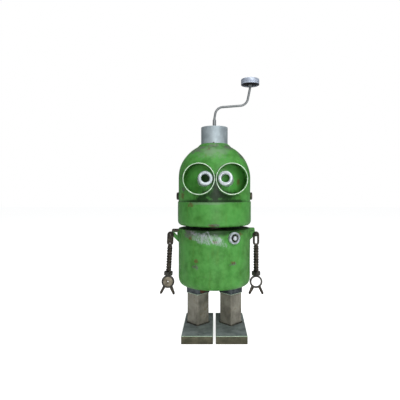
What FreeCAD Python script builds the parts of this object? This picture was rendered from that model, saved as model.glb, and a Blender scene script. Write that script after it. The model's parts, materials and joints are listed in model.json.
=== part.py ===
import FreeCAD, Part
import math
import os
import re

from FreeCAD import Placement, Rotation, Vector

# Crank-wound robot figure: a sheet-steel bottle head and body on square-tube legs, with a spring-driven
# musical movement hung inside the dome. Millimetres, +Z up, the face looks along -Y, origin on the
# ground midway between the legs. The robot's left side is +X.

doc = FreeCAD.newDocument("RobotFigure")
sheet = doc.addObject("Spreadsheet::Sheet", "Sizes")

DRIVING_DIMENSIONS = {
    # feet and legs
    "foot_width": 46, "foot_length": 108, "foot_height": 12, "foot_gap": 4, "foot_lead": 6,
    "foot_chamfer": 0.6,
    "leg_side": 25, "leg_wall": 2, "leg_corner": 2.4, "leg_height": 47.5, "leg_offset": 26,
    "hip_side": 27, "hip_corner": 2.6, "hip_height": 14, "hip_chamfer": 2.5,
    # body
    "body_radius": 56.6, "body_wall": 1.5, "body_height": 89, "body_knuckle": 13,
    "lid_thick": 2, "shoulder_plate": 3, "shoulder_back": 2.5, "shoulder_depth": 14, "right_bracket_drop": 2,
    # neck
    "neck_gap": 5, "neck_spacer_radius": 22, "neck_bolt_radius": 5, "neck_bolt_across": 17,
    "neck_bolt_head": 6.4, "neck_nut_height": 8,
    # jaw cup and dome
    "jaw_radius": 57.9, "jaw_wall": 0.8, "jaw_height": 37, "jaw_knuckle": 8,
    "dome_radius": 56.8, "dome_wall": 1.5, "dome_skirt": 1.2, "dome_straight": 38.4, "dome_rise": 55.1,
    "pivot_rise": 8.5, "pivot_radius": 3, "pivot_across": 10, "pivot_head": 3.2, "pivot_nut_height": 3,
    "ear_inner": 51.5, "ear_thick": 2, "ear_width": 12, "ear_drop": 18, "ear_flange": 11,
    # collar on the dome
    "collar_radius": 21.1, "collar_wall": 3, "collar_top": 322, "collar_sink": 10, "cap_thick": 2.5,
    "collar_weld": 4.5, "bush_radius": 4.5, "bush_flange": 6.5,
    # goggles and eyes
    "goggle_radius": 23.1, "goggle_wall": 2, "goggle_offset": 23.8, "goggle_front": 65, "face_height": 238.5,
    "face_shift": 1.4,
    "eye_offset": 15, "eye_radius": 10.6, "eye_bore": 6, "eye_front": 68,
    "eye_ring_depth": 6.5, "eye_round": 2.2, "eye_tilt": 8, "socket_radius": 10.3, "socket_length": 18,
    # crank
    "shaft_radius": 2, "ferrule_radius": 2.9, "ferrule_height": 12.5, "crank_radius": 1.85, "crank_throw": 57,
    "crank_foot": 336.2, "crank_foot_lean": 3, "crank_low": 354.1, "crank_high": 357.8, "crank_knee": 386,
    "crank_lean": 5.7, "crank_bend": 13, "rod_head_radius": 3, "rod_stop_radius": 2.8, "rod_stop_drop": 0.8,
    "knob_seat": 5.7, "knob_radius": 14.5, "knob_height": 9, "knob_base": 390, "knob_wall": 1.5,
    "shaft_joint": 4.5,
    # arms
    "left_arm_offset": 66.0, "right_arm_offset": 69.6, "right_arm_lean": 3.1, "arm_front": 3.4,
    "shoulder_pin_height": 152.2, "shoulder_pin_radius": 1.45, "shoulder_pin_head": 2.3,
    "loop_width": 10.2, "loop_wire": 3.4, "loop_bottom": 134.5, "bar_side": 6.6, "bar_lead": 17,
    "fill_depth": 2.4, "fill_lap": 0.4, "fill_gap": 0.8,
    "wrist_height": 93.8, "wrist_nut_across": 13, "wrist_nut_height": 6.0, "wrist_stud_radius": 3,
    "wrist_stud_length": 7.2, "hand_radius": 10.2, "hand_bore": 7.7, "hand_height": 77.4, "hand_thick": 3,
    "finger_offset": 6, "finger_height": 68, "finger_length": 9.4, "finger_width": 4.2, "finger_splay": 26,
    "finger_cheek": 1.3, "knuckle_radius": 2.3, "fork_radius": 3.1, "finger_pin_radius": 0.8,
    # chest bearing
    "chest_angle": 29, "chest_height": 152.2, "bearing_outer": 9, "bearing_track": 6, "bearing_inner": 4,
    "bearing_bolt": 2.5, "bearing_depth": 5, "bearing_balls": 7, "ball_radius": 1.3,
    # movement
    "plate_radius": 42, "plate_thick": 2, "plate_low": 228, "plate_high": 260, "pillar_radius": 2.5,
    "pillar_circle": 36, "gear_module": 0.8, "great_teeth": 56, "pinion_teeth": 20, "fine_module": 0.5,
    "wheel_teeth": 40, "governor_teeth": 10, "governor_angle": 155, "gear_thick": 2.5, "wheel_gap": 0.8,
    "drum_radius": 19, "drum_height": 15, "drum_wall": 1.2, "cylinder_radius": 6.5, "cylinder_length": 17,
    "arbor_radius": 1, "pivot_length": 1.5, "comb_teeth": 15,
    # clearances
    "running_gap": 0.05, "fit_gap": 0.02,
}
for row, (alias, value) in enumerate(DRIVING_DIMENSIONS.items(), start=1):
    sheet.set(f"A{row}", alias)
    sheet.set(f"B{row}", str(value))
    sheet.setAlias(f"B{row}", alias)

# Heights that follow from the stack of pieces.
STACKED_DIMENSIONS = {
    "body_bottom": "foot_height + leg_height + hip_height",
    "body_top": "body_bottom + body_height",
    "jaw_bottom": "body_top + neck_gap",
    "jaw_top": "jaw_bottom + jaw_height",
    "dome_bottom": "jaw_top - dome_skirt",
    "dome_waist": "dome_bottom + dome_straight",
    "pivot_height": "jaw_top + pivot_rise",
    "gear_distance": "gear_module * (great_teeth + pinion_teeth) / 2",
    "fine_distance": "fine_module * (wheel_teeth + governor_teeth) / 2",
}
for row, (alias, formula) in enumerate(STACKED_DIMENSIONS.items(), start=len(DRIVING_DIMENSIONS) + 1):
    sheet.set(f"A{row}", alias)
    sheet.set(f"B{row}", "=" + formula)
    sheet.setAlias(f"B{row}", alias)
doc.recompute()

subparts = []


def size(alias):
    """The value of one cell, for shapes that are set in code."""
    return float(sheet.get(alias))


def formula(text):
    """Turns cell aliases in a formula into references to the sheet."""
    def reference(match):
        word = match.group()
        known = word in DRIVING_DIMENSIONS or word in STACKED_DIMENSIONS
        return "Sizes." + word if known else word
    return re.sub(r"[a-z_]+", reference, str(text))


def bind(obj, **properties):
    """Binds properties of an object to formulas of the sheet."""
    for name, text in properties.items():
        obj.setExpression(name, formula(text))
    return obj


def place(obj, x="0", y="0", z="0", turn=None):
    """Turns an object, then binds its position to formulas of the sheet."""
    obj.Placement = Placement(Vector(), turn or Rotation())
    for axis, text in (("x", x), ("y", y), ("z", z)):
        obj.setExpression(f"Placement.Base.{axis}", formula(text))
    return obj


ALONG_X = Rotation(Vector(0, 1, 0), 90)
ALONG_MINUS_X = Rotation(Vector(0, 1, 0), -90)
ALONG_Y = Rotation(Vector(1, 0, 0), -90)
ALONG_MINUS_Y = Rotation(Vector(1, 0, 0), 90)


def cylinder(radius, height, x="0", y="0", z="0", turn=None):
    obj = doc.addObject("Part::Cylinder", "Cylinder")
    return place(bind(obj, Radius=radius, Height=height), x, y, z, turn)


def cone(low, high, height, x="0", y="0", z="0", turn=None):
    obj = doc.addObject("Part::Cone", "Cone")
    return place(bind(obj, Radius1=low, Radius2=high, Height=height), x, y, z, turn)


def box(length, width, height, x="0", y="0", z="0", turn=None):
    obj = doc.addObject("Part::Box", "Box")
    return place(bind(obj, Length=length, Width=width, Height=height), x, y, z, turn)


def sphere(radius, x="0", y="0", z="0"):
    obj = doc.addObject("Part::Sphere", "Sphere")
    return place(bind(obj, Radius=radius), x, y, z)


def hexagon(across, height, x="0", y="0", z="0", turn=None):
    """A hexagonal prism, sized by its width across flats."""
    obj = doc.addObject("Part::Prism", "Hexagon")
    obj.Polygon = 6
    return place(bind(obj, Circumradius=f"( {across} ) / sqrt(3)", Height=height), x, y, z, turn)


def cut(base, *tools):
    for tool in tools:
        obj = doc.addObject("Part::Cut", "Cut")
        obj.Base, obj.Tool = base, tool
        base = obj
    return base


def fuse(*shapes):
    obj = doc.addObject("Part::MultiFuse", "Fuse")
    obj.Shapes = list(shapes)
    obj.Refine = True
    return obj


def common(*shapes):
    obj = doc.addObject("Part::MultiCommon", "Common")
    obj.Shapes = list(shapes)
    return obj


def group(*shapes):
    """Separate identical solids that share one sub-part."""
    obj = doc.addObject("Part::Compound", "Group")
    obj.Links = list(shapes)
    return obj


def mirrored(source):
    """The same piece on the robot's other side."""
    obj = doc.addObject("Part::Mirroring", "Mirror")
    obj.Source = source
    obj.Normal = Vector(1, 0, 0)
    return obj


def shape_feature(shape):
    obj = doc.addObject("Part::Feature", "Shape")
    obj.Shape = shape
    return obj


def subpart(name, obj):
    """Names an object as one of the robot's sub-parts."""
    obj.Label = name
    subparts.append(obj)
    return obj


def circle_edges(shape, radius, height):
    """Names of the circular edges of a radius that lie at a height."""
    found = []
    for number, edge in enumerate(shape.Edges, start=1):
        flat = abs(edge.BoundBox.ZMax - height) < 0.01 and abs(edge.BoundBox.ZMin - height) < 0.01
        if flat and abs(edge.BoundBox.XMax - radius) < 0.01:
            found.append(f"Edge{number}")
    return found


def flat_face(shape, height):
    """Name of the level face at a height."""
    for number, face in enumerate(shape.Faces, start=1):
        if abs(face.BoundBox.ZMin - height) < 0.01 and abs(face.BoundBox.ZMax - height) < 0.01:
            return f"Face{number}"
    raise ValueError(f"no level face at {height}")


def pressed_cup(label, radius, height, knuckle, wall, bottom):
    """A pressed steel cup: a round blank with a rounded bottom edge, hollowed from its open top."""
    body = doc.addObject("PartDesign::Body", label)
    blank = body.newObject("PartDesign::AdditiveCylinder", "Blank")
    bind(blank, Radius=radius, Height=height)
    doc.recompute()
    rounding = body.newObject("PartDesign::Fillet", "Knuckle")
    rounding.Base = (blank, circle_edges(blank.Shape, blank.Radius.Value, 0))
    bind(rounding, Radius=knuckle)
    doc.recompute()
    hollow = body.newObject("PartDesign::Thickness", "Hollow")
    hollow.Base = (rounding, [flat_face(rounding.Shape, blank.Height.Value)])
    hollow.Reversed = True
    bind(hollow, Value=wall)
    body.Tip = hollow
    doc.recompute()
    return place(body, z=bottom)


# ---------------------------------------------------------------- feet, legs and hips


def foot(side):
    """A thick flat bar with softened edges."""
    body = doc.addObject("PartDesign::Body", side + "_foot_bar")
    bar = body.newObject("PartDesign::AdditiveBox", "Bar")
    bind(bar, Length="foot_width", Width="foot_length", Height="foot_height")
    doc.recompute()
    edges = [f"Edge{n}" for n, e in enumerate(bar.Shape.Edges, start=1) if e.BoundBox.ZMax > 1]
    soft = body.newObject("PartDesign::Chamfer", "SoftEdges")
    soft.Base = (bar, edges)
    bind(soft, Size="foot_chamfer")
    body.Tip = soft
    inner = "foot_gap / 2" if side == "left" else "-1 * ( foot_gap / 2 ) - foot_width"
    return subpart(side + "_foot", place(body, inner, "-1 * ( foot_length / 2 ) - foot_lead", "0"))


def rounded_square(side, corner, height, x, z):
    """A square bar with rounded upright edges, set with one corner forwards."""
    body = doc.addObject("PartDesign::Body", "SquareBar")
    bar = body.newObject("PartDesign::AdditiveBox", "Bar")
    bind(bar, Length=side, Width=side, Height=height)
    for axis in "xy":
        bar.setExpression(f"Placement.Base.{axis}", formula(f"-1 * ( {side} ) / 2"))
    doc.recompute()
    edges = [f"Edge{n}" for n, e in enumerate(bar.Shape.Edges, start=1) if e.BoundBox.ZLength > 1]
    rounding = body.newObject("PartDesign::Fillet", "Corners")
    rounding.Base = (bar, edges)
    bind(rounding, Radius=corner)
    body.Tip = rounding
    return place(body, x, "0", z, Rotation(Vector(0, 0, 1), 45))


def leg(side):
    """Square steel tube standing corner-forwards on the foot."""
    x = "leg_offset" if side == "left" else "-1 * leg_offset"
    outside = rounded_square("leg_side", "leg_corner", "leg_height", x, "foot_height")
    inside = rounded_square("leg_side - 2 * leg_wall", "leg_corner - leg_wall", "leg_height + 2", x,
                            "foot_height - 1")
    return subpart(side + "_leg", cut(outside, inside))


def hip(x):
    """Square block with a chamfered top between a leg and the bottle."""
    block = rounded_square("hip_side", "hip_corner", "hip_height", x, "foot_height + leg_height")
    doc.recompute()
    rounded = block.Tip
    top = flat_face(rounded.Shape, size("hip_height"))
    chamfer = block.newObject("PartDesign::Chamfer", "TopChamfer")
    chamfer.Base = (rounded, [top])
    bind(chamfer, Size="hip_chamfer")
    block.Tip = chamfer
    return block


def legs_and_feet():
    for side in ("left", "right"):
        foot(side)
        leg(side)
    subpart("hip_blocks", group(hip("leg_offset"), hip("-1 * leg_offset")))


# ---------------------------------------------------------------- body


def body_shell():
    shell = pressed_cup(
        "BodyBottle", "body_radius", "body_height", "body_knuckle", "body_wall", "body_bottom")
    turn = Rotation(Vector(0, 0, 1), size("chest_angle")).multiply(ALONG_MINUS_Y)
    hole = cylinder("bearing_bolt", "body_radius + 5", z="chest_height", turn=turn)
    subpart("body_shell", cut(shell, hole))


def body_lid():
    disc = cylinder("body_radius - body_wall - fit_gap", "lid_thick", z="body_top - lid_thick")
    hole = cylinder("neck_bolt_radius", "lid_thick + 2", z="body_top - lid_thick - 1")
    subpart("body_lid", cut(disc, hole))


def shoulder_web(side, top):
    """Upright plate that carries the arm pin, in the plane of the arms. The right one has a window."""
    pin_x, pin_z = size(side + "_arm_offset"), size("shoulder_pin_height")
    inner, reach, lug = size("body_radius") - 8, pin_x - size("shoulder_back"), 3.5
    outline = [
        (inner, top), (reach, top), (reach + 1, pin_z + lug + 1), (pin_x + lug, pin_z + 2),
        (pin_x + lug, pin_z - 1), (pin_x + 1.5, pin_z - lug), (pin_x - 2, pin_z - lug),
        (pin_x - 4, pin_z - lug), (inner, pin_z - lug - (pin_x - 4 - inner)),
    ]
    wire = Part.makePolygon([Vector(x, 0, z) for x, z in outline + outline[:1]])
    plate = Part.Face(wire).extrude(Vector(0, size("shoulder_plate"), 0))
    if side == "right":
        corners = [(pin_x - 10.5, top - 5), (pin_x - 5.5, top - 5), (pin_x - 10.5, top - 10)]
        window = Part.makePolygon([Vector(x, -1, z) for x, z in corners + corners[:1]])
        plate = plate.cut(Part.Face(window).extrude(Vector(0, size("shoulder_plate") + 2, 0)))
    feature = shape_feature(plate)
    feature.Placement = Placement(Vector(0, -size("shoulder_plate") / 2, 0), Rotation())
    return feature


def shoulder_bracket(side):
    """A level plate welded over an upright web, both trimmed to the bottle."""
    offset = side + "_arm_offset"
    drop = "right_bracket_drop" if side == "right" else "0"
    top = size("body_top") - (size(drop) if side == "right" else 0)
    level = box(f"{offset} - shoulder_back - body_radius + 9", "shoulder_depth", "shoulder_plate",
                "body_radius - 9", "-1 * ( shoulder_depth / 2 )", f"body_top - shoulder_plate - {drop}")
    bottle = cylinder("body_radius + fit_gap", "body_height", z="body_bottom")
    pin = cylinder("shoulder_pin_radius", "20", offset, "10", "shoulder_pin_height", ALONG_MINUS_Y)
    bracket = cut(fuse(shoulder_web(side, top), level), bottle, pin)
    subpart(side + "_shoulder_bracket", bracket if side == "left" else mirrored(bracket))


def shoulder_pin(x):
    """A round-headed rivet through the bracket and the arm's loop."""
    shank = cylinder("shoulder_pin_radius", "8.5", x, "2.5", "shoulder_pin_height", ALONG_MINUS_Y)
    front = cylinder("shoulder_pin_head", "1.3", x, "-6", "shoulder_pin_height", ALONG_MINUS_Y)
    back = cylinder("shoulder_pin_head", "1.3", x, "shoulder_plate / 2 + fit_gap + 1.3",
                    "shoulder_pin_height", ALONG_MINUS_Y)
    return fuse(shank, front, back)


def neck():
    """The bolt that the head turns on, its spacer and its nut."""
    head = hexagon("neck_bolt_across", "neck_bolt_head", z="jaw_bottom + jaw_wall + 0.1")
    shank = cylinder("neck_bolt_radius", "neck_gap + jaw_wall + 14", z="body_top - 13.8")
    subpart("neck_bolt", fuse(head, shank))
    nut = hexagon("neck_bolt_across", "neck_nut_height", z="body_top - lid_thick - neck_nut_height")
    subpart("neck_nut", cut(nut, cylinder("neck_bolt_radius", "12", z="body_top - lid_thick - 10")))
    ring = cylinder("neck_spacer_radius", "neck_gap - 0.1", z="body_top")
    subpart("neck_spacer", cut(ring, cylinder("neck_bolt_radius", "neck_gap + 2", z="body_top - 1")))


def on_chest(shape_of, start, *sizes):
    """A round piece on the chest bearing's axis, starting at a distance from the body's axis."""
    angle = math.radians(size("chest_angle"))
    turn = Rotation(Vector(0, 0, 1), size("chest_angle")).multiply(ALONG_MINUS_Y)
    x = f"( {start} ) * {math.sin(angle):.6f}"
    y = f"-1 * ( {start} ) * {math.cos(angle):.6f}"
    return shape_of(*sizes, x, y, "chest_height", turn)


def chest_bearing():
    """A small ball bearing riveted to the chest: its outer race is free to spin."""
    seat = "body_radius + 1"
    middle = "body_radius + 1 + bearing_depth / 2"
    groove = doc.addObject("Part::Torus", "BallGroove")
    bind(groove, Radius1="( bearing_inner + bearing_track ) / 2", Radius2="ball_radius + running_gap")
    angle = math.radians(size("chest_angle"))
    outwards = Vector(math.sin(angle), -math.cos(angle), 0)
    place(groove, f"( {middle} ) * {outwards.x:.6f}", f"( {middle} ) * {outwards.y:.6f}", "chest_height",
          Rotation(Vector(0, 0, 1), size("chest_angle")).multiply(ALONG_MINUS_Y))

    bore = on_chest(cylinder, "body_radius - 5", "bearing_bolt", "20")
    inner = on_chest(cylinder, seat, "bearing_inner", "bearing_depth")
    washer = on_chest(cylinder, "body_radius - 0.3", "bearing_inner", "1.3")
    bottle = cylinder("body_radius + fit_gap", "body_height", z="body_bottom")
    subpart("chest_inner_race", cut(fuse(inner, washer), bore, bottle, groove))
    outer = on_chest(cylinder, seat, "bearing_outer", "bearing_depth")
    track = on_chest(cylinder, "body_radius - 1", "bearing_track", "bearing_depth + 4")
    subpart("chest_outer_race", cut(outer, track, groove))

    balls = []
    circle = (size("bearing_inner") + size("bearing_track")) / 2
    across = Vector(math.cos(angle), math.sin(angle), 0)
    count = int(size("bearing_balls"))
    for number in range(count):
        around = 2 * math.pi * number / count
        offset = across * (circle * math.cos(around)) + Vector(0, 0, circle * math.sin(around))
        balls.append(sphere("ball_radius", f"( {middle} ) * {outwards.x:.6f} + {offset.x:.6f}",
                            f"( {middle} ) * {outwards.y:.6f} + {offset.y:.6f}",
                            f"chest_height + {offset.z:.6f}"))
    subpart("chest_balls", group(*balls))

    shank = on_chest(cylinder, "body_radius - body_wall - 2", "bearing_bolt", "3 + body_wall + bearing_depth")
    tail = on_chest(cylinder, "body_radius - body_wall - 2.2", "bearing_inner", "2")
    seat = "body_radius + 1 + bearing_depth"
    head = on_chest(cone, seat, "bearing_inner - 0.2", "bearing_bolt - 0.6", "2.4")
    subpart("chest_rivet", fuse(shank, tail, head))


def body_pieces():
    body_shell()
    body_lid()
    for side in ("left", "right"):
        shoulder_bracket(side)
    subpart("shoulder_pins", group(shoulder_pin("left_arm_offset"), shoulder_pin("-1 * right_arm_offset")))
    neck()
    chest_bearing()


# ---------------------------------------------------------------- jaw cup and dome


def jaw_cup():
    cup = pressed_cup("JawBottle", "jaw_radius", "jaw_height", "jaw_knuckle", "jaw_wall", "jaw_bottom")
    hole = cylinder("neck_bolt_radius + running_gap", "jaw_wall + 2", z="jaw_bottom - 1")
    subpart("jaw_cup", cut(cup, hole))


def jaw_ear():
    """A strap welded inside the cup that steps inwards and holds a pivot bolt."""
    y, foot_z = "-1 * ( ear_width / 2 )", "jaw_top - ear_drop"
    upright = box("ear_thick", "ear_width", "pivot_rise + 6 + ear_drop", "ear_inner", y, foot_z)
    step = box("8", "ear_width", "ear_thick", "ear_inner", y, foot_z)
    flange = box("4", "ear_width", "ear_flange", "jaw_radius - jaw_wall - 2", y,
                 f"{foot_z} + ear_thick - ear_flange")
    inside = cylinder("jaw_radius - jaw_wall - fit_gap", "60", z="jaw_bottom")
    hole = cylinder("pivot_radius + running_gap", "12", "ear_inner - 5", "0", "pivot_height", ALONG_X)
    return cut(common(fuse(upright, step, flange), inside), hole)


def pivot_bolt():
    length = "dome_radius - ear_inner + 5.05"
    shank = cylinder("pivot_radius", length, "ear_inner - 5", "0", "pivot_height", ALONG_X)
    head = hexagon("pivot_across", "pivot_head", "dome_radius + running_gap", "0", "pivot_height", ALONG_X)
    return fuse(shank, head)


def pivot_nut():
    x = "ear_inner - pivot_nut_height - 0.2"
    nut = hexagon("pivot_across", "pivot_nut_height", x, "0", "pivot_height", ALONG_X)
    return cut(nut, cylinder("pivot_radius", "8", "ear_inner - 6", "0", "pivot_height", ALONG_X))


def dome_envelope(growth):
    """The dome's outer form as one solid, grown by a distance."""
    wall = cylinder(f"dome_radius + {growth}", "dome_straight", z="dome_bottom")
    crown = doc.addObject("Part::Ellipsoid", "Crown")
    bind(crown, Radius1=f"dome_rise + {growth}", Radius2=f"dome_radius + {growth}",
         Radius3=f"dome_radius + {growth}")
    crown.Angle1, crown.Angle2 = 0, 90
    return fuse(wall, place(crown, z="dome_waist"))


def dome_shell():
    body = doc.addObject("PartDesign::Body", "DomeBottle")

    def feature(kind, **sizes):
        return bind(body.newObject("PartDesign::" + kind, kind), **sizes)

    def raise_to(obj, z):
        obj.setExpression("Placement.Base.z", formula(z))

    feature("AdditiveCylinder", Radius="dome_radius", Height="dome_straight")
    crown = feature("AdditiveEllipsoid", Radius1="dome_rise", Radius2="dome_radius", Radius3="dome_radius")
    crown.Angle1, crown.Angle2 = 0, 90
    raise_to(crown, "dome_straight")
    weld = feature("AdditiveCone", Radius1="collar_radius + 5.6", Radius2="collar_radius + 0.4",
                   Height="collar_weld")
    raise_to(weld, "collar_top - 31.5 - dome_bottom")
    hollow = feature("SubtractiveCylinder", Radius="dome_radius - dome_wall", Height="dome_straight + 1")
    raise_to(hollow, "-1")
    inner = feature("SubtractiveEllipsoid", Radius1="dome_rise - dome_wall",
                    Radius2="dome_radius - dome_wall",
                    Radius3="dome_radius - dome_wall")
    inner.Angle1, inner.Angle2 = -5, 90
    raise_to(inner, "dome_straight")
    neck_hole = feature("SubtractiveCylinder", Radius="collar_radius + fit_gap", Height="40")
    raise_to(neck_hole, "dome_straight + dome_rise - 20")
    body.Tip = neck_hole
    doc.recompute()
    place(body, z="dome_bottom")
    length, start = "2 * dome_radius + 4", "-1 * dome_radius - 2"
    bolts = cylinder("pivot_radius", length, start, "0", "pivot_height", ALONG_X)
    subpart("dome_shell", cut(body, bolts))


def collar():
    """A slice of pipe welded into the top of the dome, closed by a cap with a bush for the shaft."""
    bottom = "dome_waist + dome_rise - collar_sink"
    pipe = cylinder("collar_radius", f"collar_top - ( {bottom} )", z=bottom)
    bore = cylinder("collar_radius - collar_wall", "60", z="dome_waist + dome_rise - 20")
    subpart("collar_pipe", cut(pipe, bore))
    disc = cylinder("collar_radius - collar_wall - fit_gap", "cap_thick", z="collar_top - 1 - cap_thick")
    subpart("collar_cap", cut(disc, cylinder("bush_radius", "10", z="collar_top - 6")))
    sleeve = cylinder("bush_radius - fit_gap", "cap_thick + 4", z="collar_top - 5 - cap_thick")
    flange = cylinder("bush_flange", "1.2", z="collar_top - 1 + fit_gap")
    bush = fuse(sleeve, flange)
    subpart("top_bush", cut(bush, cylinder("shaft_radius + running_gap", "20", z="collar_top - 12")))


def on_face(side, offset):
    """The x position of a goggle or an eye: the whole face sits a little to one side of the dome's axis."""
    return f"face_shift + {offset}" if side == "left" else f"face_shift - {offset}"


def goggle(side):
    """A slice of pipe facing forwards, its back trimmed to the dome."""
    x = on_face(side, "goggle_offset")
    outside = cylinder("goggle_radius", "40", x, "-1 * goggle_front + 40", "face_height", ALONG_MINUS_Y)
    bore = cylinder("goggle_radius - goggle_wall", "44", x, "-1 * goggle_front + 42", "face_height",
                    ALONG_MINUS_Y)
    subpart(side + "_goggle", cut(outside, bore, dome_envelope("fit_gap")))


def eye_turn(side):
    """The eyes converge and look slightly up."""
    inward = -size("eye_tilt") if side == "left" else size("eye_tilt")
    return Rotation(Vector(0, 0, 1), inward).multiply(Rotation(Vector(1, 0, 0), 90 - size("eye_tilt")))


def eye_ring(side):
    """A turned steel ring with a rounded front edge."""
    body = doc.addObject("PartDesign::Body", side + "_eye")
    blank = body.newObject("PartDesign::AdditiveCylinder", "Blank")
    bind(blank, Radius="eye_radius", Height="eye_ring_depth")
    doc.recompute()
    bore = body.newObject("PartDesign::SubtractiveCylinder", "Bore")
    bind(bore, Radius="eye_bore", Height="eye_ring_depth")
    doc.recompute()
    rounding = body.newObject("PartDesign::Fillet", "RoundedFront")
    front = blank.Height.Value
    outer_rim = circle_edges(bore.Shape, size("eye_radius"), front)
    inner_rim = circle_edges(bore.Shape, size("eye_bore"), front)
    rounding.Base = (bore, outer_rim + inner_rim)
    bind(rounding, Radius="eye_round")
    body.Tip = rounding
    place(body, on_face(side, "eye_offset"), "-1 * eye_front + eye_ring_depth", "face_height", eye_turn(side))
    subpart(side + "_eye_ring", body)


def eye_socket(side):
    """A tube from the dome to the back of the eye ring."""
    turn, length = eye_turn(side), size("socket_length")
    back = turn.multVec(Vector(0, 0, -length))
    x_back = f"{on_face(side, 'eye_offset')} + {back.x:.6f}"
    y_back = f"-1 * eye_front + eye_ring_depth + {back.y:.6f}"
    z_back = f"face_height + {back.z:.6f}"
    tube = cylinder("socket_radius", "socket_length - fit_gap", x_back, y_back, z_back, turn)
    bore = cylinder("eye_bore + 0.4", "socket_length", x_back, y_back, z_back, turn)
    return cut(tube, bore, dome_envelope("fit_gap"))


def head_pieces():
    jaw_cup()
    ear = jaw_ear()
    subpart("jaw_ears", group(ear, mirrored(ear)))
    dome_shell()
    bolt, nut = pivot_bolt(), pivot_nut()
    subpart("pivot_bolts", group(bolt, mirrored(bolt)))
    subpart("pivot_nuts", group(nut, mirrored(nut)))
    collar()
    for side in ("left", "right"):
        goggle(side)
        eye_ring(side)
    subpart("eye_sockets", group(eye_socket("left"), eye_socket("right")))


# ---------------------------------------------------------------- crank and knob


def crank_rod():
    """A round rod: up from the ferrule with a slight lean, across to the throw, and up again to the knob."""
    radius, bend, throw = size("crank_radius"), size("crank_bend"), size("crank_throw")
    corners = [
        Vector(0, 0, size("collar_top") + size("shaft_joint")),
        Vector(0, 0, size("crank_foot")),
        Vector(size("crank_foot_lean"), 0, size("crank_low")),
        Vector(throw - size("crank_lean"), 0, size("crank_high")),
        Vector(throw, 0, size("crank_knee")),
        Vector(throw, 0, size("knob_base") + size("knob_seat")),
    ]
    edges, start = [], corners[0]
    for before, corner, after in zip(corners, corners[1:], corners[2:]):
        a, b = (before - corner).normalize(), (after - corner).normalize()
        half = a.getAngle(b) / 2
        reach = bend / math.tan(half)
        centre = corner + (a + b).normalize() * (bend / math.sin(half))
        middle = centre + (corner - centre).normalize() * bend
        edges.append(Part.makeLine(start, corner + a * reach))
        edges.append(Part.Arc(corner + a * reach, middle, corner + b * reach).toShape())
        start = corner + b * reach
    edges.append(Part.makeLine(start, corners[-1]))
    section = Part.Wire([Part.makeCircle(radius, corners[0], Vector(0, 0, 1))])
    rod = Part.Wire(edges).makePipeShell([section], True, False)
    head = Part.makeCylinder(size("rod_head_radius"), 1, corners[-1])
    stop_low = Vector(throw, 0, size("knob_base") - size("rod_stop_drop"))
    stop = Part.makeCylinder(size("rod_stop_radius"), 1, stop_low)
    subpart("crank_rod", shape_feature(rod.fuse([head, stop]).removeSplitter()))


def crank_hub():
    """The shaft that winds the spring, and the ferrule that joins it to the crank."""
    shaft = cylinder("shaft_radius", "collar_top + shaft_joint - ( plate_low - 1.5 )", z="plate_low - 1.5")
    subpart("winding_shaft", shaft)
    low = "collar_top + 0.4"
    sleeve = cylinder("ferrule_radius", "ferrule_height", z=low)
    shaft_bore = cylinder("shaft_radius", "4.1", z=low)
    rod_bore = cylinder("crank_radius", "ferrule_height", z="collar_top + shaft_joint - 0.1")
    subpart("crank_ferrule", cut(sleeve, shaft_bore, rod_bore))


def knob():
    """A turned steel cap over a black insert, free to spin on the end of the crank."""
    x, low = "crank_throw", "knob_base"
    outside = cylinder("knob_radius", "knob_height", x, "0", low)
    groove = cut(cylinder("knob_radius + 1", "0.8", x, "0", "knob_base + 2.6"),
                 cylinder("knob_radius - 0.5", "4", x, "0", "knob_base + 1"))
    hollow = cylinder("knob_radius - knob_wall", "knob_height - knob_wall", x, "0", "knob_base")
    subpart("knob_cap", cut(outside, hollow, groove))
    disc = cylinder("knob_radius - knob_wall - fit_gap", "5.3", x, "0", "knob_base + 0.3")
    bore = cylinder("crank_radius + running_gap", "20", x, "0", "knob_base - 5")
    subpart("knob_insert", cut(disc, bore))


def crank_pieces():
    crank_rod()
    crank_hub()
    knob()


# ---------------------------------------------------------------- arms and hands


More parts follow.
